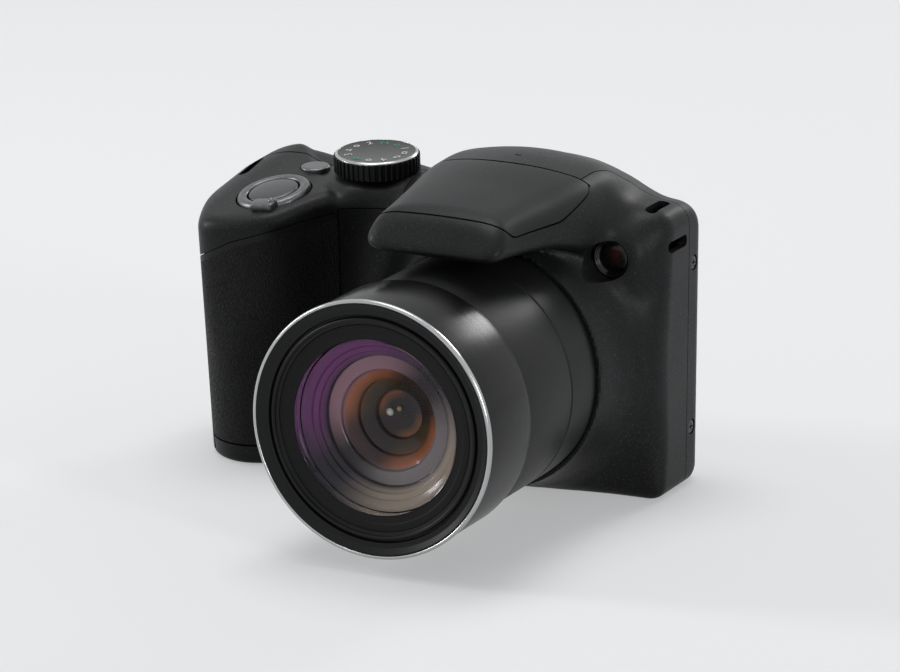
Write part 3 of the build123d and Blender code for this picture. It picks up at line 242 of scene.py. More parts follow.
def mesh_piece(name, points, faces):
    """Object from points in millimetres."""
    data = bpy.data.meshes.new(name)
    data.from_pydata((np.asarray(points, float) * MM).tolist(), [], [list(map(int, f)) for f in faces])
    return linked(name, data)


def drop(*pieces):
    for piece in pieces:
        bpy.data.objects.remove(piece)


def slab(low, high):
    """Box between two corners."""
    (a, b, c), (d, e, f) = low, high
    return bar([(a, b), (d, b), (d, e), (a, e)], UPRIGHT, c, f)


def outward(piece, ease=0.0):
    """Turn a closed mesh's faces outwards, and round its edges where asked."""
    shape = bmesh.new()
    shape.from_mesh(piece.data)
    bmesh.ops.recalc_face_normals(shape, faces=shape.faces)
    if ease:
        edges = [edge for edge in shape.edges if edge.calc_face_angle(0) > 0.6]
        bmesh.ops.bevel(shape, geom=edges, offset=ease * MM, segments=3, profile=0.5, affect="EDGES")
    shape.to_mesh(piece.data)
    shape.free()
    return piece


def bar(outline, place, low, high, ease=0.0, name="tool"):
    """Prism: place turns an outline point and a depth into a point in space."""
    n = len(outline)
    points = [place(u, v, low) for u, v in outline] + [place(u, v, high) for u, v in outline]
    sides = [(i, (i + 1) % n, (i + 1) % n + n, i + n) for i in range(n)]
    return outward(mesh_piece(name, points, [range(n)[::-1], range(n, 2 * n)] + sides), ease)


def rod(radius, place, low, high, count=96):
    return bar(circle(radius, count), place, low, high)


def lathe(profile, place, count=144, name="tool"):
    """Turned piece: the profile goes round through points of a radius and a height."""
    points, rings, faces = [], [], []
    for radius, height in profile:
        if radius < 0.001:
            rings.append([len(points)] * count)
            points.append(place(0, 0, height))
        else:
            rings.append(list(range(len(points), len(points) + count)))
            points += [place(u, v, height) for u, v in circle(radius, count)]
    for a, b in zip(rings, rings[1:] + rings[:1]):
        for i in range(count):
            face = list(dict.fromkeys((a[i], a[i - 1], b[i - 1], b[i])))
            if len(face) > 2:
                faces.append(face)
    return outward(mesh_piece(name, points, faces))


def dome(radius, apex, edge, count=20):
    """Profile of a shallow dome from its apex out to its edge."""
    rise = edge - apex
    size = (radius**2 + rise**2) / (2 * abs(rise))
    steps = [radius * i / count for i in range(count + 1)]
    return [(r, apex + math.copysign(size - math.sqrt(size**2 - r**2), rise)) for r in steps]


def circle(radius, count=96):
    turns = [2 * math.pi * i / count for i in range(count)]
    return [(radius * math.cos(a), radius * math.sin(a)) for a in turns]


def along_y(x, z):
    return lambda u, v, depth: (x + u, depth, z + v)


def along_x(y, z):
    return lambda u, v, depth: (depth, y + u, z + v)


def along_z(x, y):
    return lambda u, v, depth: (x + u, y + v, depth)


def on_deck(x, y, height, lean, slope):
    """Place on a sloping deck, with v towards the back."""
    up = Vector((-lean, -slope, 1)).normalized()
    side = Vector((0, 1, 0)).cross(up).normalized()
    back = up.cross(side)
    return lambda u, v, depth: tuple(Vector((x, y, height)) + side * u + back * v + up * depth)


UPRIGHT, LENS = along_z(0, 0), along_y(0, LENS_Z)
on_shutter = on_deck(*SHUTTER, SHUTTER_DECK + SHUTTER_RISE * SHUTTER[1], SHUTTER_LEAN, SHUTTER_RISE)
on_power = on_deck(*POWER, DIAL_DECK + DIAL_RISE * POWER[1], 0, DIAL_RISE)
on_dial = on_deck(*DIAL, DIAL_DECK + DIAL_RISE * DIAL[1], 0, DIAL_RISE)


def rounded(width, height, radius, count=8):
    """Outline of a rectangle with round corners."""
    points = []
    for index, (sx, sy) in enumerate(((1, 1), (-1, 1), (-1, -1), (1, -1))):
        for k in range(count + 1):
            angle = math.pi / 2 * (index + k / count)
            points.append((
                sx * (width / 2 - radius) + radius * math.cos(angle),
                sy * (height / 2 - radius) + radius * math.sin(angle),
            ))
    return points


def soften(outline, radius, count=6):
    """Outline with its corners rounded; one that starts on a lathe's axis keeps its first and last point."""
    points = []
    n = len(outline)
    ends = (0, n - 1) if outline[0][0] == 0 else ()
    for i in range(n):
        if i in ends:
            points.append(outline[i])
            continue
        before, here, after = (Vector(outline[(i + k) % n]) for k in (-1, 0, 1))
        a, b = (before - here), (after - here)
        cut = min(radius, a.length / 2, b.length / 2)
        start, end = here + a.normalized() * cut, here + b.normalized() * cut
        for k in range(count + 1):
            t = k / count
            points.append(tuple(start * (1 - t) ** 2 + here * 2 * t * (1 - t) + end * t**2))
    return points


def carve(name, base, *steps):
    """New piece from a base that tools cut in turn, or overlap or join where a step says so.

    What is named as a tool is used up.
    """
    piece = linked(name, base.data.copy())
    steps = [step if isinstance(step, tuple) else ("DIFFERENCE", step) for step in steps]
    for operation, tool in steps:
        cut = piece.modifiers.new(operation, "BOOLEAN")
        cut.operation, cut.solver, cut.object = operation, "MANIFOLD", tool
    done = settled(piece, name)
    piece.modifiers.clear()
    piece.data = done
    drop(*{tool for tool in (base, *(step[1] for step in steps)) if tool.name.startswith("tool")})
    return piece


def unite(*tools):
    return carve("tool_union", tools[0], *(("UNION", tool) for tool in tools[1:]))


def joined(name, *pieces):
    """Several meshes as one object."""
    shape = bmesh.new()
    for piece in pieces:
        shape.from_mesh(piece.data)
    data = bpy.data.meshes.new(name)
    shape.to_mesh(data)
    shape.free()
    drop(*pieces)
    return linked(name, data)


def smooth(piece, degrees=38):
    piece.data.shade_smooth()
    piece.data.set_sharp_from_angle(angle=math.radians(degrees))
    return piece


def coat(piece, finish):
    piece.data.materials.clear()
    piece.data.materials.append(FINISHES[finish])


def dress(piece, home, *replaced, finish=None):
    """Give a finished piece the body and slot of a CAD node, and the finish of that slot or its own."""
    slot = SLOTS[home]
    coat(piece, finish or slot)
    if replaced:
        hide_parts(*replaced)
    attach(piece, BODIES[home])
    return piece


# Zones that share the skin out among the covers; g pulls each one in from its seams

BAND = ((-90, 30.7), (-56.4, 47.9), (-45.6, 51.5), (GRIP_END, 52.9))
BAND_TALL = 1.3


def band_region(far_z, shift, g):
    """Outline in x and z between a level and the line that the trim band follows."""
    pull = math.copysign(g, far_z - 48)
    line = [(min(x, GRIP_END - g), z + shift + pull) for x, z in BAND]
    return [(-90, far_z - pull), (GRIP_END - g, far_z - pull)] + line[::-1]


def flat(u, v, y):
    return (u, y, v)


def strip_outline(g):
    """Plan of the strip behind the flash and of the back cover's front seam."""
    line = [(FAR, 3.2), (27.5, 3.2), (22.6, 3.0), (18.8, 1.2), (16.6, -3), (15.6, -9), (15.4, -20)]
    right = [(x - g, y + g) for x, y in line]
    left = [(-x, y) for x, y in right[:1:-1]]
    return right + left + [(-27, BACK_SEAM + g), (-FAR, BACK_SEAM + g), (-FAR, FAR), (FAR, FAR)]


def rear_zone(g):
    high = bar(strip_outline(g), UPRIGHT, 57.5, FAR)
    low = slab((-FAR, BACK_SEAM + g, -FAR), (FAR, FAR, 58.5))
    side = [(-90, -FAR), (-68 - g, -FAR), (-68 - g, 41.8 - g), (-90, 30.5 - g)]
    return unite(high, low, bar(side, flat, SIDE_SEAM + g, 4))


def top_zone(g):
    wide = slab((-FAR, -FAR, 53.5 + g), (-27.5 - g, 3 - g, FAR))
    return unite(wide, bar(band_region(60, 0, g), flat, -FAR, 3 - g))


def wrap_zone(low_z, shift, g):
    """Part of the grip ahead of the side seam, from a level up to the band."""
    return bar(band_region(low_z, shift, g), flat, -FAR, SIDE_SEAM - g)


def base_zone(g):
    grip = slab((-FAR, -FAR, -FAR), (GRIP_END - g, FAR, BASE_TOP - g))
    skirt = slab((-FAR, -FAR, -FAR), (GRIP_END - g, SIDE_SEAM - g, 4.1 - g))
    return unite(grip, skirt, slab((-50, -7.2 + g, -FAR), (27.6 - g, 9.2 - g, BASE_TOP - g)))


def lid_zone(g):
    """Flash lid as seen from the side, with rounded corners."""
    outline = [(-45.3, FAR), (-45.3, 63.9), (-42.9, 60.9), (-27.6, 60.9), (-16.4, 64.1)]
    turn = [math.radians(angle) for angle in range(22, 82, 8)]
    outline += [(HINGE[0] + 6.2 * math.cos(a), HINGE[1] + 6.2 * math.sin(a)) for a in turn]
    outline += [(HINGE[0] + 1, FAR)]
    middle = Vector((-30, 72))
    grown = [tuple(Vector(p) - (Vector(p) - middle).normalized() * g) for p in outline]
    return bar(soften(grown, 1.4), along_x(0, 0), -FAR, FAR)


def lid_sweep():
    """Room that the back edge of the lid turns through."""
    wedge = bar([(-16.4, -22), (16.4, -22), (18.2, -8), (-18.2, -8)], UPRIGHT, 40, FAR)
    return carve("tool_sweep", rod(6.5, along_x(*HINGE), -30, 30), ("INTERSECT", wedge))


def strap_channel(x, z, way):
    """Slot that goes in at the top and comes out at the side."""
    upright = bar(rounded(2.4, 8.2, 1.1), along_z(x, -2.1), z - 1.2, FAR)
    return unite(upright, bar(rounded(8.2, 2.4, 1.1), along_x(-2.1, z), *sorted((x, way * FAR))))


def door_outline(g):
    """Plan of the battery door, grown by g except at its hinge."""
    return [
        (-68 - g, 8.6 + g), (-68 - g, -13.6 - g), (-64.5 - g, -21.4 - g), (-51.5 + g, -21.4 - g),
        (-45.4 + g, -13.6 - g), (-43.0, -13.8), (-43.0, 8.6 + g),
    ]


def lid_arms():
    """Two arms of the flash lid with their eyes on the hinge pin."""
    for side in (-10.7, 10.7):
        leg = slab((side - 0.9, HINGE[0] - 1.4, HINGE[1]), (side + 0.9, HINGE[0] + 1.4, 66.3))
        eye = rod(1.4, along_x(*HINGE), side - 0.9, side + 0.9, 48)
        yield carve("tool_arm", unite(leg, eye), rod(0.8, along_x(*HINGE), -20, 20, 32))


def make_skins():
    """Outer skin of each cover, cut from one soft form along the seams."""
    low, high = (-76, -53.5, -1.5), (33, 13, 71)
    fine, coarse = 0.55, 1.1
    whole = surface_net("whole", casing_field, low, high, fine)
    inner, middle = (
        surface_net(name, lambda x, y, z: casing_field(x, y, z) + depth, low, high, coarse)
        for name, depth in (("inner", SKIN), ("tool_middle", SKIN / 2))
    )
    room = carve("tool_room", inner, rod(26.8, LENS, -45, -8.5))
    below = bar(band_region(29, -0.5, 0), flat, -FAR, FAR)
    overlap = carve("tool_overlap", bar(band_region(30, 0.9, 0.3), flat, -36, 2), below)
    lap = carve("tool_lap", middle, inner, ("INTERSECT", overlap))
    shell = carve("shell", whole, room)
    drop(inner)
    wrap = slab((-FAR, -FAR, 1), (GRIP_END + SEAM, SIDE_SEAM + SEAM, 57))
    trim = carve("tool_trim", wrap_zone(5, 0, SEAM), wrap_zone(4, -BAND_TALL, -SEAM))
    keys = (MOVIE, 3.3), (PLAYBACK, 3.2), (ROCKER, 10.8), (MENU, 3.2)
    lid = carve("tool_lid", shell, ("INTERSECT", lid_zone(SEAM)))
    door = bar(door_outline(-0.02)[:-2] + [(-44.6, -13.4), (-44.6, 8.4)], UPRIGHT, -FAR, 1.9)
    knuckle = rod(1.05, along_y(-44.35, 1.05), -13.4, 8.4, 48)
    flap = bar(rounded(8.5, 19.8, 0.5), along_x(0.8, 27), -FAR, -60)
    skins = {
        "front_cover": carve(
            "front_skin", shell, rear_zone(-SEAM), top_zone(-SEAM), wrap, base_zone(-SEAM), lid_zone(-0.3),
            rod(24.45, LENS, -40, -7, 192), rod(4.05, along_y(*LAMP), -30, -6.9),
            strap_channel(26.2, 52.0, 1), lid_sweep(),
        ),
        "rear_cover": carve(
            "rear_skin", shell, ("INTERSECT", rear_zone(SEAM)), base_zone(-SEAM), lid_zone(-0.3),
            bar(rounded(66.3, 50.3, 1.6), along_y(-4.5, 30.5), 10.1, FAR),
            *(rod(radius, along_y(*spot), 0, FAR) for spot, radius in keys),
            *(rod(1.6, along_x(SIDE_SCREW_Y, z), 29.9, FAR) for z in SIDE_SCREWS),
            bar(rounded(12.3, 4.9, 1.6), along_y(*THUMB), 10.3, FAR), lid_sweep(),
            bar(rounded(1.4, 0.5, 0.2, 4), along_z(0.5, -12.5), 60, FAR),
            bar(rounded(9.2, 20.4, 0.5), along_x(0.8, 27), -FAR, -60),
        ),
        "top_cover": carve(
            "top_skin", shell, ("INTERSECT", top_zone(SEAM)), strap_channel(-66.2, 51.6, -1),
            rod(8.0, on_shutter, -6, 8), rod(2.2, on_dial, -6, 5), rod(3.15, on_power, -6, 5),
        ),
        "grip_rubber": carve("grip_rubber_skin", shell, ("INTERSECT", wrap_zone(4.3, -BAND_TALL, SEAM))),
        "grip_trim": joined("grip_trim_skin", carve("tool_strip", shell, ("INTERSECT", trim)), lap),
        "base_cover": carve(
            "base_skin", shell, ("INTERSECT", base_zone(SEAM)), rod(5.35, UPRIGHT, -FAR, FAR),
            *(rod(1.6, along_z(*spot), -FAR, 1) for spot in BASE_SCREWS),
            slab((-69.4, -7.7, -FAR), (-60, -0.3, 1.2)), bar(door_outline(0.2), UPRIGHT, -FAR, FAR),
        ),
        "flash_lid": carve("flash_lid_skin", lid, *(("UNION", arm) for arm in lid_arms())),
        "battery_door": carve("battery_door_skin", whole, ("INTERSECT", door), ("UNION", knuckle)),
        "terminal_cover": carve("terminal_flap", shell, ("INTERSECT", flap)),
    }
    drop(shell, whole)
    for name, piece in skins.items():
        dress(smooth(piece), name, name, finish={"flash_lid": "lid_plastic"}.get(name))


# Finishes

EFFECTS = {}
BLACK = (0, 0, 0, 1)


def node(tree, kind, sockets=(), **settings):
    """Node with its sockets set to values, or linked to another node's output."""
    made = tree.nodes.new(kind if "Node" in kind else "ShaderNode" + kind)
    for key, value in settings.items():
        setattr(made, key, value)
    for key, value in dict(sockets).items():
        if isinstance(value, bpy.types.NodeSocket):
            tree.links.new(value, made.inputs[key])
        else:
            made.inputs[key].default_value = value
    return made


def feed(sockets, **wires):
    """Link outputs to named sockets."""
    for label, wire in wires.items():
        wire.id_data.links.new(wire, sockets[label.replace("_", " ")])


def calc(operation, *values):
    tree = next(value.id_data for value in values if isinstance(value, bpy.types.NodeSocket))
    return node(tree, "Math", enumerate(values), operation=operation).outputs[0]


def ramp(value, start, end, low=0.0, high=1.0):
    """Smooth change from low to high while the value goes from start to end."""
    sockets = {"Value": value, "From Min": start, "From Max": end, "To Min": low, "To Max": high}
    return node(value.id_data, "MapRange", sockets, interpolation_type="SMOOTHSTEP").outputs["Result"]


def tint(share, a, b):
    return node(share.id_data, "Mix", {0: share, 6: a, 7: b}, data_type="RGBA").outputs[2]


def noise(place, scale, detail=2.0):
    return node(place.id_data, "TexNoise", {"Vector": place, "Scale": scale, "Detail": detail}).outputs["Fac"]


def mapped(place, kind="POINT", **sockets):
    return node(place.id_data, "Mapping", {"Vector": place, **sockets}, vector_type=kind).outputs[0]


def from_axis(place):
    """Coordinates of a place, and its distance from the Y axis."""
    part = node(place.id_data, "SeparateXYZ", {0: place}).outputs
    return part, calc("SQRT", calc("ADD", *(calc("MULTIPLY", part[k], part[k]) for k in (0, 2))))


def group_socket(tree, name, kind, way="INPUT"):
    return tree.interface.new_socket(name=name, in_out=way, socket_type="NodeSocket" + kind)


def effect(name, given, *wanted):
    """New shader node group; returns its inner sockets for input and output."""
    tree = EFFECTS[name] = bpy.data.node_groups.new(name, "ShaderNodeTree")
    for label, default in {"Place": (0, 0, 0), **given}.items():
        kind = {4: "Color", 3: "Vector"}[len(default)] if isinstance(default, tuple) else "Float"
        group_socket(tree, label, kind).default_value = default
    for label in wanted:
        group_socket(tree, label, "Color" if label == "Colour" else "Float", "OUTPUT")
    return tree.nodes.new("NodeGroupInput").outputs, tree.nodes.new("NodeGroupOutput").inputs


def moulded_grain():
    """Spark-eroded grain: fine bumps, pale flecks on some of them, and duller and shinier patches."""
    given = {"Size": 0.3, "Colour": BLACK, "Fleck": BLACK, "Rough": 0.5, "Spread": 0.1}
    a, b = effect("moulded_grain", given, "Colour", "Rough", "Height")
    fine = noise(a["Place"], calc("DIVIDE", 1000, a["Size"]))
    patch = noise(a["Place"], 70, 3)
    spots = calc("MULTIPLY", ramp(fine, 0.56, 0.7), ramp(patch, 0.35, 0.65, 0.55, 1))
    swing = calc("MULTIPLY", a["Spread"], calc("SUBTRACT", patch, 0.5))
    rough = calc("ADD", calc("MULTIPLY_ADD", spots, -0.12, a["Rough"]), swing)
    feed(b, Colour=tint(spots, a["Colour"], a["Fleck"]), Rough=rough, Height=fine)


def leather_pebble():
    """Pebbles of leathered rubber, drawn out along one diagonal, with painted shade in the creases between
    them.
    """
    given = {"Size": 1.2, "Colour": BLACK, "Crease": BLACK}
    a, b = effect("leather_pebble", given, "Colour", "Rough", "Height")
    place = a["Place"]
    tree = place.id_data
    shift = node(tree, "TexNoise", {"Vector": place, "Scale": 260.0, "Detail": 2.0}).outputs["Color"]
    sway = node(tree, "VectorMath", {0: shift, 1: (0.0011,) * 3}, operation="MULTIPLY").outputs[0]
    bent = node(tree, "VectorMath", {0: place, 1: sway}, operation="ADD").outputs[0]
    drawn = mapped(bent, Rotation=(0, math.radians(38), 0), Scale=(1.45, 1.2, 0.8))
    sockets = {"Vector": drawn, "Scale": calc("DIVIDE", 1000, a["Size"])}
    edge = node(tree, "TexVoronoi", sockets, feature="DISTANCE_TO_EDGE").outputs["Distance"]
    pebble = ramp(edge, 0.0, 0.28)
    feed(
        b,
        # Painted shade: the creases between the pebbles are darker
        Colour=tint(ramp(edge, 0.02, 0.16), a["Crease"], a["Colour"]),
        Height=calc("MULTIPLY_ADD", noise(place, 3200), 0.22, pebble),
        Rough=ramp(pebble, 0, 1, 0.72, 0.47),
    )


def turned_lines():
    """Fine lines left by a lathe round the Y axis through the place's origin."""
    given = {"Lines": 6.0, "Rough": 0.3, "Spread": 0.2}
    a, b = effect("turned_lines", given, "Rough", "Height", "Shade")
    part, radius = from_axis(a["Place"])
    angle = calc("MULTIPLY", calc("ARCTAN2", part[0], part[2]), 0.00008)
    line = node(radius.id_data, "CombineXYZ", {0: radius, 1: part[1], 2: angle}).outputs[0]
    fine = noise(line, calc("MULTIPLY", a["Lines"], 1000))
    swing = calc("MULTIPLY", a["Spread"], calc("SUBTRACT", fine, 0.5))
    broad = calc("MULTIPLY_ADD", noise(a["Place"], 90), 0.08, -0.04)
    rough = calc("ADD", calc("ADD", a["Rough"], swing), broad)
    feed(b, Rough=rough, Height=fine, Shade=ramp(fine, 0.35, 0.65))


def settled_dust():
    """Trace of dust and handling: a mask on faces that look up, and a change of gloss."""
    a, b = effect("settled_dust", {"Amount": 0.1}, "Mask", "Gloss")
    tree = a["Place"].id_data
    up = node(tree, "SeparateXYZ", {0: node(tree, "NewGeometry").outputs["Normal"]}).outputs[2]
    specks = ramp(noise(a["Place"], 1500, 3), 0.64, 0.76)
    film = ramp(noise(a["Place"], 40, 4), 0.4, 0.75, 0.05, 0.3)
    mask = calc("MULTIPLY", calc("MAXIMUM", specks, film), ramp(up, 0.1, 0.9))
    feed(b, Mask=calc("MULTIPLY", mask, a["Amount"]), Gloss=calc("MULTIPLY", film, a["Amount"]))


def use(name, place, **values):
    """Shared effect placed in a material with its own values."""
    return node(place.id_data, "Group", {"Place": place, **values}, node_tree=EFFECTS[name]).outputs


def paint(**sockets):
    """New material, its shader's sockets and the object's own coordinates."""
    made = bpy.data.materials.new("finish")
    made.use_nodes = True
    shader = made.node_tree.nodes["Principled BSDF"].inputs
    for key, value in sockets.items():
        shader[key.replace("_", " ")].default_value = value
    return made, shader, node(made.node_tree, "TexCoord").outputs["Object"]


def finished(made, shader, colour, rough, height=None, depth=0.0):
    """Material with its pattern linked, and with bumps of a depth where it has a height."""
    feed(shader, Base_Color=colour, Roughness=rough)
    if height:
        sockets = {"Height": height, "Distance": depth * MM, "Strength": 1.0}
        feed(shader, Normal=node(height.id_data, "Bump", sockets).outputs[0])
    return made


def grey(level, warm=0.0):
    return (level * (1 + warm), level, level * (1 - warm), 1)


def moulded(colour, fleck, rough, size=0.3, depth=0.012, dust=0.1, **sockets):
    """Moulded plastic with a spark-eroded grain of a size and depth."""
    made, shader, place = paint(**sockets)
    grain = use("moulded_grain", place, Size=size, Colour=colour, Fleck=fleck, Rough=rough, Spread=0.14)
    dusty = use("settled_dust", place, Amount=dust)
    rough = calc("ADD", grain["Rough"], dusty["Gloss"])
    colour = tint(dusty["Mask"], grain["Colour"], grey(0.32))
    return finished(made, shader, colour, rough, grain["Height"], depth)


def print_and_painted_highlight(colour, light, rough=0.5):
    """Raised print, or a painted highlight inside the lens."""
    return moulded((*colour, 1), (*light, 1), rough, 0.2, 0.002, 0.0)


def leather(colour, crease_shade, size, depth, **sockets):
    """Rubber with a leather pebble and painted shade in its creases."""
    made, shader, place = paint(**sockets)
    pebble = use("leather_pebble", place, Size=size, Colour=colour, Crease=crease_shade)
    dusty = use("settled_dust", place, Amount=0.12)
    colour = tint(dusty["Mask"], pebble["Colour"], grey(0.3))
    return finished(made, shader, colour, pebble["Rough"], pebble["Height"], depth)


def turned(dark, light, rough, centre, tilt=(0, 0, 0), lines=6.0, spread=0.2, depth=0.002, **sockets):
    """Metal or paint with lathe lines round an axis through the centre."""
    made, shader, place = paint(**sockets)
    moved = mapped(place, "TEXTURE", Location=Vector(centre) * MM, Rotation=tilt)
    cut = use("turned_lines", moved, Lines=lines, Rough=rough, Spread=spread)
    return finished(made, shader, tint(cut["Shade"], dark, light), cut["Rough"], cut["Height"], depth)


def glassy(colour, rough, smears=0.05, **sockets):
    """Glass or polished plastic with a trace of smears."""
    made, shader, place = paint(**sockets)
    dusty = use("settled_dust", place, Amount=0.04)
    smear = ramp(noise(place, 60, 3), 0.35, 0.75, rough, rough + smears)
    return finished(made, shader, tint(dusty["Mask"], colour, grey(0.5)), smear)


def brushed(colour, rough):
    """Drawn or brushed metal with straight lines along X."""
    made, shader, place = paint(Metallic=1.0)
    fine = noise(mapped(place, Scale=(1, 14, 14)), 500, 3)
    dark = tuple(c * 0.78 for c in colour[:3]) + (1,)
    rough = ramp(fine, 0.3, 0.7, rough - 0.06, rough + 0.08)
    return finished(made, shader, tint(ramp(fine, 0.3, 0.7), dark, colour), rough, fine, 0.004)


def board_paint():
    """Green solder mask with copper tracks under it."""
    made, shader, place = paint()
    sockets = {
        "Vector": mapped(place, Rotation=(math.pi / 2, 0, 0)), "Scale": 190.0, "Mortar Size": 0.04,
        "Color1": (0.015, 0.13, 0.06, 1), "Color2": (0.02, 0.16, 0.08, 1), "Mortar": (0.03, 0.26, 0.13, 1),
    }
    cell = node(made.node_tree, "TexBrick", sockets).outputs
    grain = use("moulded_grain", place, Size=0.5, Rough=0.4, Spread=0.2)
    return finished(made, shader, cell["Color"], grain["Rough"], cell["Fac"], 0.02)


def radial_with_painted_light(centre, edge, stops, low_painted_light, high_painted_light, diagonal_painted_shade):
    """Lens part: colours by radius, painted shade along one diagonal, a painted reflection at each end of the
    other.

    The last argument is how dark the painted shade along the first diagonal is.
    """
    made, shader, place = paint(Specular_IOR_Level=0.3)
    part, radius = from_axis(mapped(place, "TEXTURE", Location=Vector(centre) * MM))
    share = calc("DIVIDE", radius, edge * MM)
    bands = node(made.node_tree, "ValToRGB", {0: share})
    while len(bands.color_ramp.elements) < len(stops):
        bands.color_ramp.elements.new(0.5)
    for element, (spot, colour) in zip(bands.color_ramp.elements, stops):
        element.position, element.color = spot, (*colour, 1)
    sweep = calc("DIVIDE", calc("SUBTRACT", part[0], part[2]), calc("ADD", radius, 0.0002))
    fan = calc("MULTIPLY", calc("MULTIPLY", sweep, sweep), 0.5)
    # Painted shade along the diagonal through the upper right and the lower left
    colour = tint(calc("MULTIPLY", ramp(fan, 0.75, 0.1), diagonal_painted_shade), bands.outputs[0], grey(0.012, 0.15))
    outer = ramp(share, 0.72, 0.82)
    # Painted reflections near the edge, at the lower right and the upper left
    for start, end, shade in ((0.1, 1.35, low_painted_light), (-0.1, -1.2, high_painted_light)):
        colour = tint(calc("MULTIPLY", ramp(sweep, start, end), outer), colour, (*shade, 1))
    rings = calc("SINE", calc("MULTIPLY", radius, 5200))
    return finished(made, shader, colour, ramp(rings, 0.7, 1, 0.12, 0.22))


# Colours of the parts painted by radius, from their middle, at 0, to their edge, at 1;
# the amber bands are painted reflections of the lens coatings
AMBER_PAINTED_REFLECTIONS = (
    (0, (0.008, 0.008, 0.005)), (0.22, (0.016, 0.014, 0.006)), (0.34, (0.16, 0.06, 0.018)),
    (0.4, (0.022, 0.02, 0.007)), (0.55, (0.06, 0.036, 0.011)), (0.75, (0.36, 0.12, 0.045)),
    (0.79, (0.07, 0.066, 0.065)), (1, (0.09, 0.092, 0.095)),
)
BRONZE = (
    (0, (0.02, 0.018, 0.018)), (0.8, (0.012, 0.012, 0.014)), (0.9, (0.01, 0.01, 0.014)),
    (1, (0.008, 0.007, 0.01)),
)
RED = (
    (0, (0.05, 0.008, 0.007)), (0.3, (0.022, 0.005, 0.005)), (0.6, (0.009, 0.006, 0.006)), (1, (0.004,) * 3)
)


def make_finishes():
    """One finish for each slot of the record, and those of single pieces."""
    for make in (moulded_grain, leather_pebble, turned_lines, settled_dust):
        make()
    lens, dial, shutter = (0, 0, LENS_Z), (*DIAL, 60), (*SHUTTER, 55)
    lamp = (LAMP[0] + 0.9, 0, LAMP[1] + 0.9)
    turn = (math.pi / 2, 0, 0)
    dull = {"Specular_IOR_Level": 0.17}
    made = {
        "body_plastic": moulded(grey(0.0055, -0.06), grey(0.034, -0.04), 0.44, 0.3, 0.016, 0.08, **dull),
        # The grip's second colour is painted shade in the creases of its pebble
        "grip_leatherette": leather(grey(0.0065, -0.03), grey(0.0035), 0.72, 0.085, **dull),
        "satin_black": moulded(grey(0.008, -0.03), grey(0.016), 0.4, 0.24, 0.005, 0.06, **dull),
        "gloss_black": glassy(grey(0.006), 0.06),
        "front_shell": turned(
            grey(0.003), grey(0.006), 0.24, lens, lines=9, spread=0.12, Specular_IOR_Level=0.2
        ),
        "chrome_edge": turned(grey(0.38), grey(0.5), 0.2, lens, lines=12, Metallic=1.0),
        "ring_metal": turned(grey(0.1, -0.02), grey(0.15, -0.02), 0.34, shutter, turn, 5, Metallic=0.85),
        "matt_black": moulded(grey(0.006), grey(0.01), 0.62, 0.3, 0.008, 0.02, **dull),
        "coated_glass": glassy((0.93, 0.9, 0.96, 1), 0.0, 0.0, Transmission_Weight=1.0, IOR=1.13),
        "clear_glass": glassy(grey(0.95), 0.02, Transmission_Weight=1.0, IOR=1.5),
        "lamp_red": radial_with_painted_light(lamp, 3.6, RED, (0.006, 0.005, 0.005), (0.004, 0.004, 0.004), 0.0),
        "lamp_white": moulded((0.75, 0.72, 0.62, 1), (0.8, 0.78, 0.7, 1), 0.3, 0.4, 0.004, 0.0),
        "steel": brushed(grey(0.52), 0.3),
        "blackened_steel": brushed(grey(0.09), 0.35),
        "aluminium": brushed(grey(0.62, -0.01), 0.38),
        "brass": brushed((0.72, 0.5, 0.2, 1), 0.3),
        "circuit": board_paint(),
        "grey_plastic": moulded(grey(0.055), grey(0.09), 0.5, 0.3, 0.01, 0.05),
        "screen": glassy((0.006, 0.006, 0.008, 1), 0.03, 0.04, Coat_Weight=0.2),
        "battery_wrap": glassy((0.05, 0.055, 0.075, 1), 0.3, 0.1),
        "lid_plastic": moulded(grey(0.0085, -0.05), grey(0.018, -0.04), 0.44, 0.22, 0.007, 0.06, **dull),
        "shutter_metal": moulded(grey(0.055, -0.03), grey(0.09), 0.34, 0.16, 0.004, 0.08, Metallic=0.5),
        "dial_plate": turned(grey(0.012), grey(0.03), 0.3, dial, turn, 8, 0.25, 0.004, Metallic=0.9),
        "dial_edge": turned(grey(0.35), grey(0.5), 0.22, dial, turn, 10, Metallic=1.0),
        # Painted highlights inside the lens
        "pale_glint": print_and_painted_highlight((0.5, 0.55, 0.42), (0.6, 0.62, 0.5), 0.4),
        "amber_glint": print_and_painted_highlight((0.4, 0.28, 0.1), (0.5, 0.36, 0.15), 0.4),
        # The lens parts' base colours carry painted reflections and painted shade
        "element_painted_reflections": radial_with_painted_light(lens, 12.6, AMBER_PAINTED_REFLECTIONS, (0.2, 0.19, 0.165), (0.26, 0.15, 0.16), 0.92),
        "element_rim": radial_with_painted_light(lens, 17.1, BRONZE, (0.3, 0.26, 0.18), (0.13, 0.028, 0.12), 0.0),
        "white_print": print_and_painted_highlight((0.62,) * 3, (0.72,) * 3),
        "green_print": print_and_painted_highlight((0.02, 0.3, 0.13), (0.04, 0.38, 0.18)),
        "red_print": print_and_painted_highlight((0.45, 0.02, 0.02), (0.55, 0.05, 0.04)),
    }
    for name, finish in made.items():
        finish.name = name
    return made


# Turned, moulded and printed pieces


def turned_piece(name, home, profile, place, ease=0.0, degrees=35, count=192, finish=None, extra=False):
    """Turned piece that takes the place of its CAD node, or is an extra one beside it."""
    if ease:
        profile = soften(profile, ease, 3)
    piece = smooth(lathe(profile, place, count, name), degrees)
    return dress(piece, home, *(() if extra else (home,)), finish=finish)


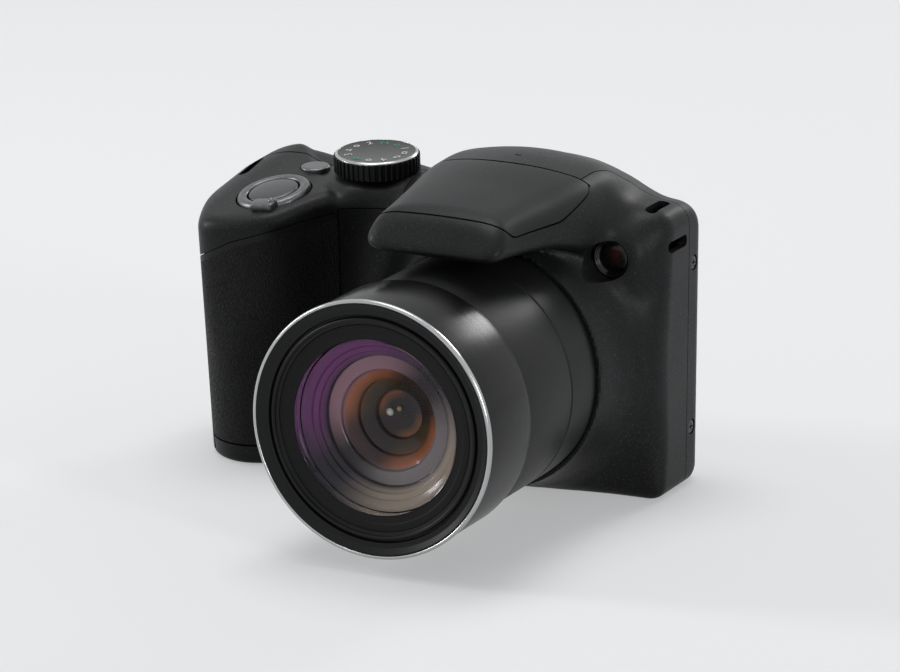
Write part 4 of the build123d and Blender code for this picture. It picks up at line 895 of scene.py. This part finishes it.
def make_lens():
    """Collar, barrels and the front group."""
    collar = [
        (24.3, -55.8), (24.3, -36.9), (24.12, -36.7), (24.12, -36.4), (24.3, -36.2), (24.3, -13), (22.8, -13),
        (22.8, -55.8),
    ]
    turned_piece("collar", "lens_sleeve", collar, LENS, 0.12)
    ribs = [(22.5 - 0.12 * (k % 2), -54 + 0.8 * k) for k in range(26)]
    barrel = [(22.5, -55.8)] + ribs + [(22.5, -22), (21.1, -22), (21.1, -55.8)]
    turned_piece("middle_barrel", "mid_barrel", barrel, LENS, 0.1)
    shell = [
        (25.2, -73.1), (25.2, -57.0), (25.05, -56.75), (25.05, -56.2), (20.8, -56.2), (20.8, -26),
        (19.5, -26), (19.5, -54.8), (11, -54.8), (11, -56), (19.5, -56), (19.5, -60), (15.8, -60),
        (15.8, -61.4), (23.9, -61.4), (23.9, -73.1),
    ]
    turned_piece("front_barrel_shell", "front_barrel", shell, LENS, 0.14)
    edge = [(24.75, -73.1), (25.47, -73.1), (25.47, -73.8), (25.2, -74.1), (24.9, -74.1), (24.75, -73.95)]
    turned_piece("bright_edge", "trim_ring", edge, LENS, 0.14)
    face = [
        (24.7, -73.15), (24.7, -74.0), (24.45, -74.0), (23.35, -73.25), (22.4, -73.2), (22.35, -72.2),
        (21.8, -72.2), (21.75, -73.3), (21.45, -73.5), (21.05, -73.35), (21.0, -72.75), (20.4, -72.65),
        (20.35, -72.1), (19.75, -72.0), (19.6, -71.5), (23.8, -71.5), (23.8, -73.12),
    ]
    turned_piece("front_ring_face", "front_ring", face, LENS, 0.1)
    cone = [
        (20.3, -72.6), (18.95, -72.5), (18.75, -72.35), (17.4, -72.25), (17.25, -72.0), (17.25, -61.45),
        (18.45, -61.45), (18.45, -70), (20.3, -71.6),
    ]
    turned_piece("light_funnel", "funnel", cone, LENS, 0.1)
    glass = dome(17.2, -73.7, -72.4, 28) + [(17.2, -69.6), (0, -69.6)]
    turned_piece("front_glass", "front_lens", glass, LENS, degrees=30)
    # Stepped bowl behind the front glass; its colours are painted reflections and painted shade of the lens
    # inside
    bowl = [
        (12.7, -66.2), (12.5, -66.0), (10.15, -66.4), (9.95, -66.1), (9.9, -65.6), (7.7, -64.2), (7.5, -63.9),
        (7.4, -63.3), (4.9, -62.1), (4.7, -61.7), (4.6, -61.2), (2.5, -60.9), (0, -60.8), (0, -60.2),
        (5.5, -60.2), (12.7, -60.2),
    ]
    turned_piece("element_painted_reflections", "second_lens", bowl, LENS, 0.08, 30, 160, "element_painted_reflections")
    # Rim of the inner element; its colour carries a painted beige reflection at the lower right and a painted
    # purple one at the upper left
    rim = [
        (17.1, -69.4), (16.3, -69.2), (15.2, -68.6), (15.0, -68.2), (14.0, -67.9), (13.85, -67.4),
        (12.9, -67.0), (12.75, -66.5), (12.6, -66.0), (13.2, -65.6), (17.1, -68),
    ]
    turned_piece("element_rim", "second_lens", rim, LENS, 0.1, 30, 192, "element_rim", True)
    # Painted highlights: a pale and an amber spot inside the lens that stand in for reflections
    glints = ("large", -2.3, 0.0, 0.75, "pale_glint"), ("small", -0.3, 0.9, 0.5, "amber_glint")
    for size, x, z, radius, finish in glints:
        spot = dome(radius, -61.6, -61.2, 8) + [(0, -60.9)]
        turned_piece("glint_" + size, "second_lens", spot, along_y(x, LENS_Z + z), 0, 60, 32, finish, True)


def make_lamp():
    """Window of the autofocus lamp in its bezel."""
    axis = along_y(*LAMP)
    bezel = [
        (3.98, -7), (3.98, -12.2), (3.85, -12.6), (3.68, -12.7), (3.5, -12.6), (3.44, -12.25), (3.22, -12.2),
        (3.2, -12.0), (3.02, -11.9), (3.02, -10.9), (3.3, -10.8), (3.3, -7),
    ]
    turned_piece("lamp_ring", "lamp_bezel", bezel, axis, 0.08)
    window = dome(3.0, -12.1, -11.7, 12) + [(3.0, -10.9), (0, -10.9)]
    turned_piece("lamp_pane", "lamp_window", window, axis, 0, 30, 96)


def ribs_on_circle():
    """Geometry Nodes: upright ribs on a circle."""
    tree = bpy.data.node_groups.new("ribs_on_circle", "GeometryNodeTree")
    inputs = {"Geometry": "Geometry", "Count": "Int", "Finish": "Material"}
    inputs.update(dict.fromkeys(("Radius", "Rib Radius", "Rib Height", "Lift"), "Float"))
    for name, kind in inputs.items():
        group_socket(tree, name, kind)
    group_socket(tree, "Geometry", "Geometry", "OUTPUT")
    given = tree.nodes.new("NodeGroupInput").outputs

    def step(kind, **sockets):
        labels = {label.replace("_", " "): value for label, value in sockets.items()}
        return node(tree, "GeometryNode" + kind, labels).outputs[0]

    ring = step("MeshCircle", Vertices=given["Count"], Radius=given["Radius"])
    rib = step("MeshCylinder", Vertices=10, Radius=given["Rib Radius"], Depth=given["Rib Height"])
    height = node(tree, "CombineXYZ", {2: given["Lift"]}).outputs[0]
    raised = step("Transform", Geometry=rib, Translation=height)
    spread = step("InstanceOnPoints", Points=ring, Instance=raised)
    real = step("RealizeInstances", Geometry=spread)
    done = step("SetMaterial", Geometry=real, Material=given["Finish"])
    node(tree, "NodeGroupOutput", {0: done})
    return tree


def grown_from(tree, name, place, **values):
    """Plain mesh of a Geometry Nodes tree, set into a place."""
    piece = linked(name, bpy.data.meshes.new(name))
    grow = piece.modifiers.new("grow", "NODES")
    grow.node_group = tree
    labels = {item.name: item.identifier for item in tree.interface.items_tree if item.in_out == "INPUT"}
    for label, value in values.items():
        grow[labels[label.replace("_", " ")]] = value
    data = settled(piece, name)
    piece.modifiers.clear()
    piece.data = data
    for point in data.vertices:
        point.co = Vector(place(*(c / MM for c in point.co))) * MM
    return piece


def make_dial():
    """Knurled dial with a bright chamfer, a spun face and generic marks."""
    core = [(0, 0.3), (8.25, 0.3), (8.5, 0.6), (8.5, 3.9), (8.3, 4.0), (2, 4.0), (2, 3.8), (0, 3.8)]
    body = lathe(soften(core, 0.08, 3), on_dial, 144)
    shaft = lathe([(0, 1), (2, 1), (2, -6), (0, -6)], on_dial, 48)
    ribs = grown_from(
        ribs_on_circle(), "knurls", on_dial, Count=44, Radius=8.52 * MM, Rib_Radius=0.36 * MM,
        Rib_Height=3.3 * MM, Lift=2.2 * MM, Finish=FINISHES["satin_black"],
    )
    dress(smooth(joined("dial_body", body, shaft, ribs), 50), "mode_dial", "mode_dial")
    bezel = [(8.52, 3.86), (8.54, 4.08), (8.18, 4.36), (7.96, 4.38), (7.96, 3.95), (8.2, 3.85)]
    turned_piece("dial_chamfer", "mode_dial", bezel, on_dial, 0.06, 40, 144, "dial_edge", True)
    plate = [(0, 4.26), (7.4, 4.28), (7.9, 4.36), (7.94, 4.3), (7.94, 3.95), (0, 3.95)]
    turned_piece("dial_plate", "dial_face", plate, on_dial, 0, 30, 144, "dial_plate")
    white, green = [], []
    shapes = (
        [(-0.7, -0.5), (0.7, -0.5), (0.7, 0.5), (-0.7, 0.5)], circle(0.62, 20),
        [(-0.7, -0.5), (0.7, -0.5), (0, 0.75)], rounded(1.6, 0.9, 0.3, 4),
    )
    for index in range(12):
        angle = math.radians(30 * index + 12)
        spot = Vector((5.9 * math.cos(angle), 5.9 * math.sin(angle)))
        out, side = spot.normalized(), Vector((-spot.y, spot.x)).normalized()

        def on_face(u, v, depth, spot=spot, out=out, side=side):
            at = spot - side * u + out * v
            return on_dial(at.x, at.y, depth)

        if index % 3 == 1:
            stroke = numeral(str(1 + index // 3), on_face)
        else:
            shape = shapes[index % 4]
            hollow = bar([(u * 0.62, v * 0.62) for u, v in shape], on_face, 4, 4.6)
            stroke = carve("stroke", bar(shape, on_face, 4.2, 4.33), hollow)
        (green if index in (2, 3, 8) else white).append(stroke)
    dress(joined("dial_marks_white", *white), "dial_face", finish="white_print")
    dress(joined("dial_marks_green", *green), "dial_face", finish="green_print")


def numeral(text, place):
    """Thin raised figure, 1.7 mm tall."""
    font = bpy.data.curves.new("figure", "FONT")
    font.body, font.size, font.extrude = text, 2.4, 0.06
    font.align_x, font.align_y, font.resolution_u = "CENTER", "CENTER", 3
    item = linked("figure", font)
    data = settled(item, "figure")
    drop(item)
    for point in data.vertices:
        point.co = Vector(place(point.co.x, point.co.y, 4.28 + point.co.z)) * MM
    return linked("figure", data)


def make_shutter():
    """Zoom ring with its tab, the domed button inside it, and the power button behind."""
    ring = [
        (5.5, -1.9), (5.5, 0.3), (5.7, 0.66), (6.25, 0.82), (6.95, 0.78), (7.45, 0.45), (7.7, -0.2),
        (7.7, -1.9),
    ]
    body = lathe(soften(ring, 0.35, 4), on_shutter, 160)
    tab = bar(rounded(5.2, 3.2, 0.8), lambda u, v, d: on_shutter(u + 1.7, v - 7.3, d), -0.3, 1.5, 0.42)
    bead = dome(0.85, 2.1, 1.35, 8) + [(0.85, 0.8), (0, 0.8)]
    bead = lathe(bead, lambda u, v, d: on_shutter(u + 3.4, v - 7.0, d), 32)
    dress(smooth(joined("zoom_lever", body, tab, bead), 42), "zoom_ring", "zoom_ring")
    turns = [math.pi / 2 * i / 24 for i in range(24)]
    top = [(5.2 * math.sin(a), 1.1 * math.cos(a) ** 0.5) for a in turns]
    key = top + [(5.2, 0.0), (5.2, -1.1), (1.5, -1.1), (1.5, -3.2), (0, -3.2)]
    turned_piece("shutter_key", "shutter_button", key, on_shutter, 0, 45, 144, "shutter_metal")
    cap = [(0, 0.26), (2.5, 0.28), (2.8, 0.2), (3.0, 0.0), (3.0, -2.8), (0, -2.8)]
    turned_piece("power_key", "power_button", cap, on_power, 0.12, 40, 96)


def back_key(name, home, spot, radius, icon, finish="white_print"):
    """Round key on the back with a slightly hollow top and a simple icon."""
    axis = along_y(*spot)
    profile = [
        (0, 11.45), (radius * 0.6, 11.48), (radius - 0.35, 11.6), (radius - 0.08, 11.45), (radius, 11.2),
        (radius, 8.9), (0, 8.9),
    ]
    turned_piece(name, home, profile, axis, 0.12, 40, 96)
    dress(joined(name + "_icon", *(bar(shape, axis, 11.3, 11.53) for shape in icon)), home, finish=finish)


def make_back():
    """Keys of the back, the four-way rocker with its arrows and the thumb pad."""
    back_key("movie_key", "movie_button", MOVIE, 3.0, [circle(1.0, 24)], "red_print")
    back_key("playback_key", "playback_button", PLAYBACK, 2.9, [[(0.8, -0.9), (0.8, 0.9), (-0.9, 0)]])
    lines = [[(-1, z - 0.16), (1, z - 0.16), (1, z + 0.16), (-1, z + 0.16)] for z in (-0.75, 0, 0.75)]
    back_key("menu_key", "menu_button", MENU, 2.9, lines)
    axis = along_y(*ROCKER)
    ring = [
        (5, 8.95), (5, 11.3), (5.2, 11.5), (7.6, 11.42), (9.8, 11.6), (10.25, 11.45), (10.5, 11.1),
        (10.5, 8.95),
    ]
    turned_piece("rocker_ring", "four_way_pad", soften(ring, 0.2, 4), axis, 0, 40, 160)
    arrow = (8.5, 0), (7.5, 0.7), (7.5, -0.7)
    turns = (1, 0), (0, 1), (-1, 0), (0, -1)
    arrows = [bar([(c * u - s * v, s * u + c * v) for u, v in arrow], axis, 11.2, 11.55) for c, s in turns]
    dress(joined("rocker_arrows", *arrows), "four_way_pad", finish="white_print")
    centre = [(0, 11.35), (3.2, 11.45), (4.1, 11.6), (4.4, 11.4), (4.5, 11.1), (4.5, 8.95), (0, 8.95)]
    turned_piece("centre_key", "centre_button", soften(centre, 0.15, 4), axis, 0, 40, 96)
    dots = [(-4.2 + 1.2 * i + 0.6 * (j % 2), -1.1 + 1.05 * j) for i in range(8) for j in range(3)]
    x, z = THUMB
    dots = [rod(0.32, along_y(x + u, z + v), 11.2, 11.47, 12) for u, v in dots]
    pad = joined("thumb_rest", bar(rounded(11.8, 4.4, 1.4), along_y(x, z), 10.4, 11.35, 0.25), *dots)
    dress(smooth(pad, 40), "thumb_pad", "thumb_pad")


def make_base():
    """Screw heads with cross slots, and the threaded tripod socket."""
    places = [along_z(*spot) for spot in BASE_SCREWS]
    places += [lambda u, v, depth, z=z: (RIGHT - depth, SIDE_SCREW_Y + u, z + v) for z in SIDE_SCREWS]
    profile = [(0, 0.15), (1.2, 0.17), (1.42, 0.3), (1.48, 0.9), (0.8, 0.95), (0.8, 5.2), (0, 5.2)]
    heads = []
    for place in places:
        slots = [bar(rounded(*size, 0.1, 2), place, -1, 0.62) for size in ((1.7, 0.34), (0.34, 1.7))]
        heads.append(carve("head", lathe(profile, place, 48), *slots))
    dress(smooth(joined("screw_heads", *heads), 40), "case_screws", "case_screws", finish="blackened_steel")
    thread = []
    for turn in range(4):
        low = 0.35 + 1.27 * turn
        thread += [(3.7, low), (3.2, low + 0.5), (3.2, low + 0.7), (3.7, low + 1.15)]
    outside = [
        (3.75, 0.02), (5.15, 0.02), (5.15, 2.3), (6.85, 2.35), (6.85, 3.4), (5.15, 3.45), (5.15, 6.4),
        (0, 6.4),
    ]
    socket = [(0, 5.5)] + thread[::-1] + outside
    turned_piece("tripod_thread", "tripod_socket", socket, UPRIGHT, 0, 30, 96)


def make_marks():
    """Index line beside the dial, let into the casing's surface there."""
    line = [(-1.5, -0.16), (1.5, -0.16), (1.5, 0.16), (-1.5, 0.16)]
    x, y = -26.4, -1.0
    heights = np.linspace(72, 55, 400)
    inside = casing_field(np.full(400, x), np.full(400, y), heights) < 0
    top = float(heights[np.argmax(inside)])
    place = lambda u, v, d: (x + u, y + v, d + (u + 1.5) * 0.28)
    dress(bar(line, place, top - 1.0, top - 0.3, 0, "dial_index"), "top_cover", finish="white_print")


def paint_the_rest():
    """Finish each CAD node, shown or inside."""
    for name, piece in nodes.items():
        coat(piece, SLOTS[name])


# Camera, light and floor, in metres


def place_camera():
    """Camera at the photograph's viewing angle, solved from it with the real size."""
    right = Vector((0.88955, 0.45684, 0))
    up = Vector((-0.12697, 0.24724, 0.96060))
    back = Vector((0.43884, -0.85450, 0.27794))
    camera = linked("camera", bpy.data.cameras.new("camera"))
    camera.data.lens = 180
    camera.data.sensor_width = 36
    camera.data.clip_start, camera.data.clip_end = 0.05, 50
    turn = Matrix((right, up, back)).transposed().to_4x4()
    camera.matrix_world = Matrix.Translation((0.3837, -0.7881, 0.2820)) @ turn
    bpy.context.scene.camera = camera


def softbox(name, place, aim, width, height, power):
    data = bpy.data.lights.new(name, "AREA")
    data.shape, data.size, data.size_y, data.energy = "RECTANGLE", width, height, power
    lamp = linked(name, data)
    lamp.location = place
    lamp.rotation_euler = (Vector(aim) - Vector(place)).to_track_quat("-Z", "Y").to_euler()


def seen_directly(tree):
    """One for what the camera sees, straight or by way of metal and glass."""
    path = node(tree, "LightPath").outputs
    mirrored = calc("MAXIMUM", path["Is Glossy Ray"], path["Is Transmission Ray"])
    return calc("MAXIMUM", path["Is Camera Ray"], mirrored)


def mixed(tree, share, a, b, out):
    """Output of one shader that changes into another."""
    node(tree, out, {0: node(tree, "MixShader", {0: share, 1: a, 2: b}).outputs[0]})


def world_light():
    """Even cool light, with a pale backdrop only for what is seen."""
    world = bpy.data.worlds.new("studio")
    bpy.context.scene.world = world
    world.use_nodes = True
    tree = world.node_tree
    tree.nodes.clear()
    dim = node(tree, "Background", {0: (0.9, 0.93, 1, 1), 1: 0.24}).outputs[0]
    pale = node(tree, "Background", {0: (0.85, 0.86, 0.87, 1)}).outputs[0]
    mixed(tree, seen_directly(tree), dim, pale, "OutputWorld")


def lay_floor():
    """Pale floor that also glows a little where it is seen, and keeps the shadow."""
    far, level = 6000, -0.03
    corners = [(-far, -far, level), (far, -far, level), (far, far, level), (-far, far, level)]
    floor = mesh_piece("floor", corners, [(0, 1, 2, 3)])
    pale = bpy.data.materials.new("pale_floor")
    pale.use_nodes = True
    tree = pale.node_tree
    tree.nodes.clear()
    plain = node(tree, "BsdfPrincipled", {"Base Color": (0.8, 0.81, 0.82, 1), "Roughness": 0.9}).outputs[0]
    glow = node(tree, "Emission", {0: (0.985, 0.99, 0.995, 1)}).outputs[0]
    mixed(tree, calc("MULTIPLY", seen_directly(tree), 0.35), plain, glow, "OutputMaterial")
    floor.data.materials.append(pale)


def studio():
    bpy.context.scene.view_settings.view_transform = "Standard"
    world_light()
    softbox("top_box", (-0.15, 0.1, 1.15), (0, -0.02, 0.03), 0.7, 0.5, 6.4)
    softbox("back_box", (0.22, 1.1, 0.62), (0, -0.02, 0.04), 0.3, 0.2, 2.4)
    softbox("right_box", (1.1, -0.5, 0.35), (0, -0.03, 0.04), 0.12, 0.5, 3.6)
    softbox("left_box", (-1.05, -0.35, 0.4), (0, -0.03, 0.04), 0.22, 0.5, 5)
    lay_floor()


place_camera()
studio()
FINISHES = make_finishes()
make_skins()
make_lens()
make_lamp()
make_dial()
make_shutter()
make_back()
make_base()
make_marks()
paint_the_rest()
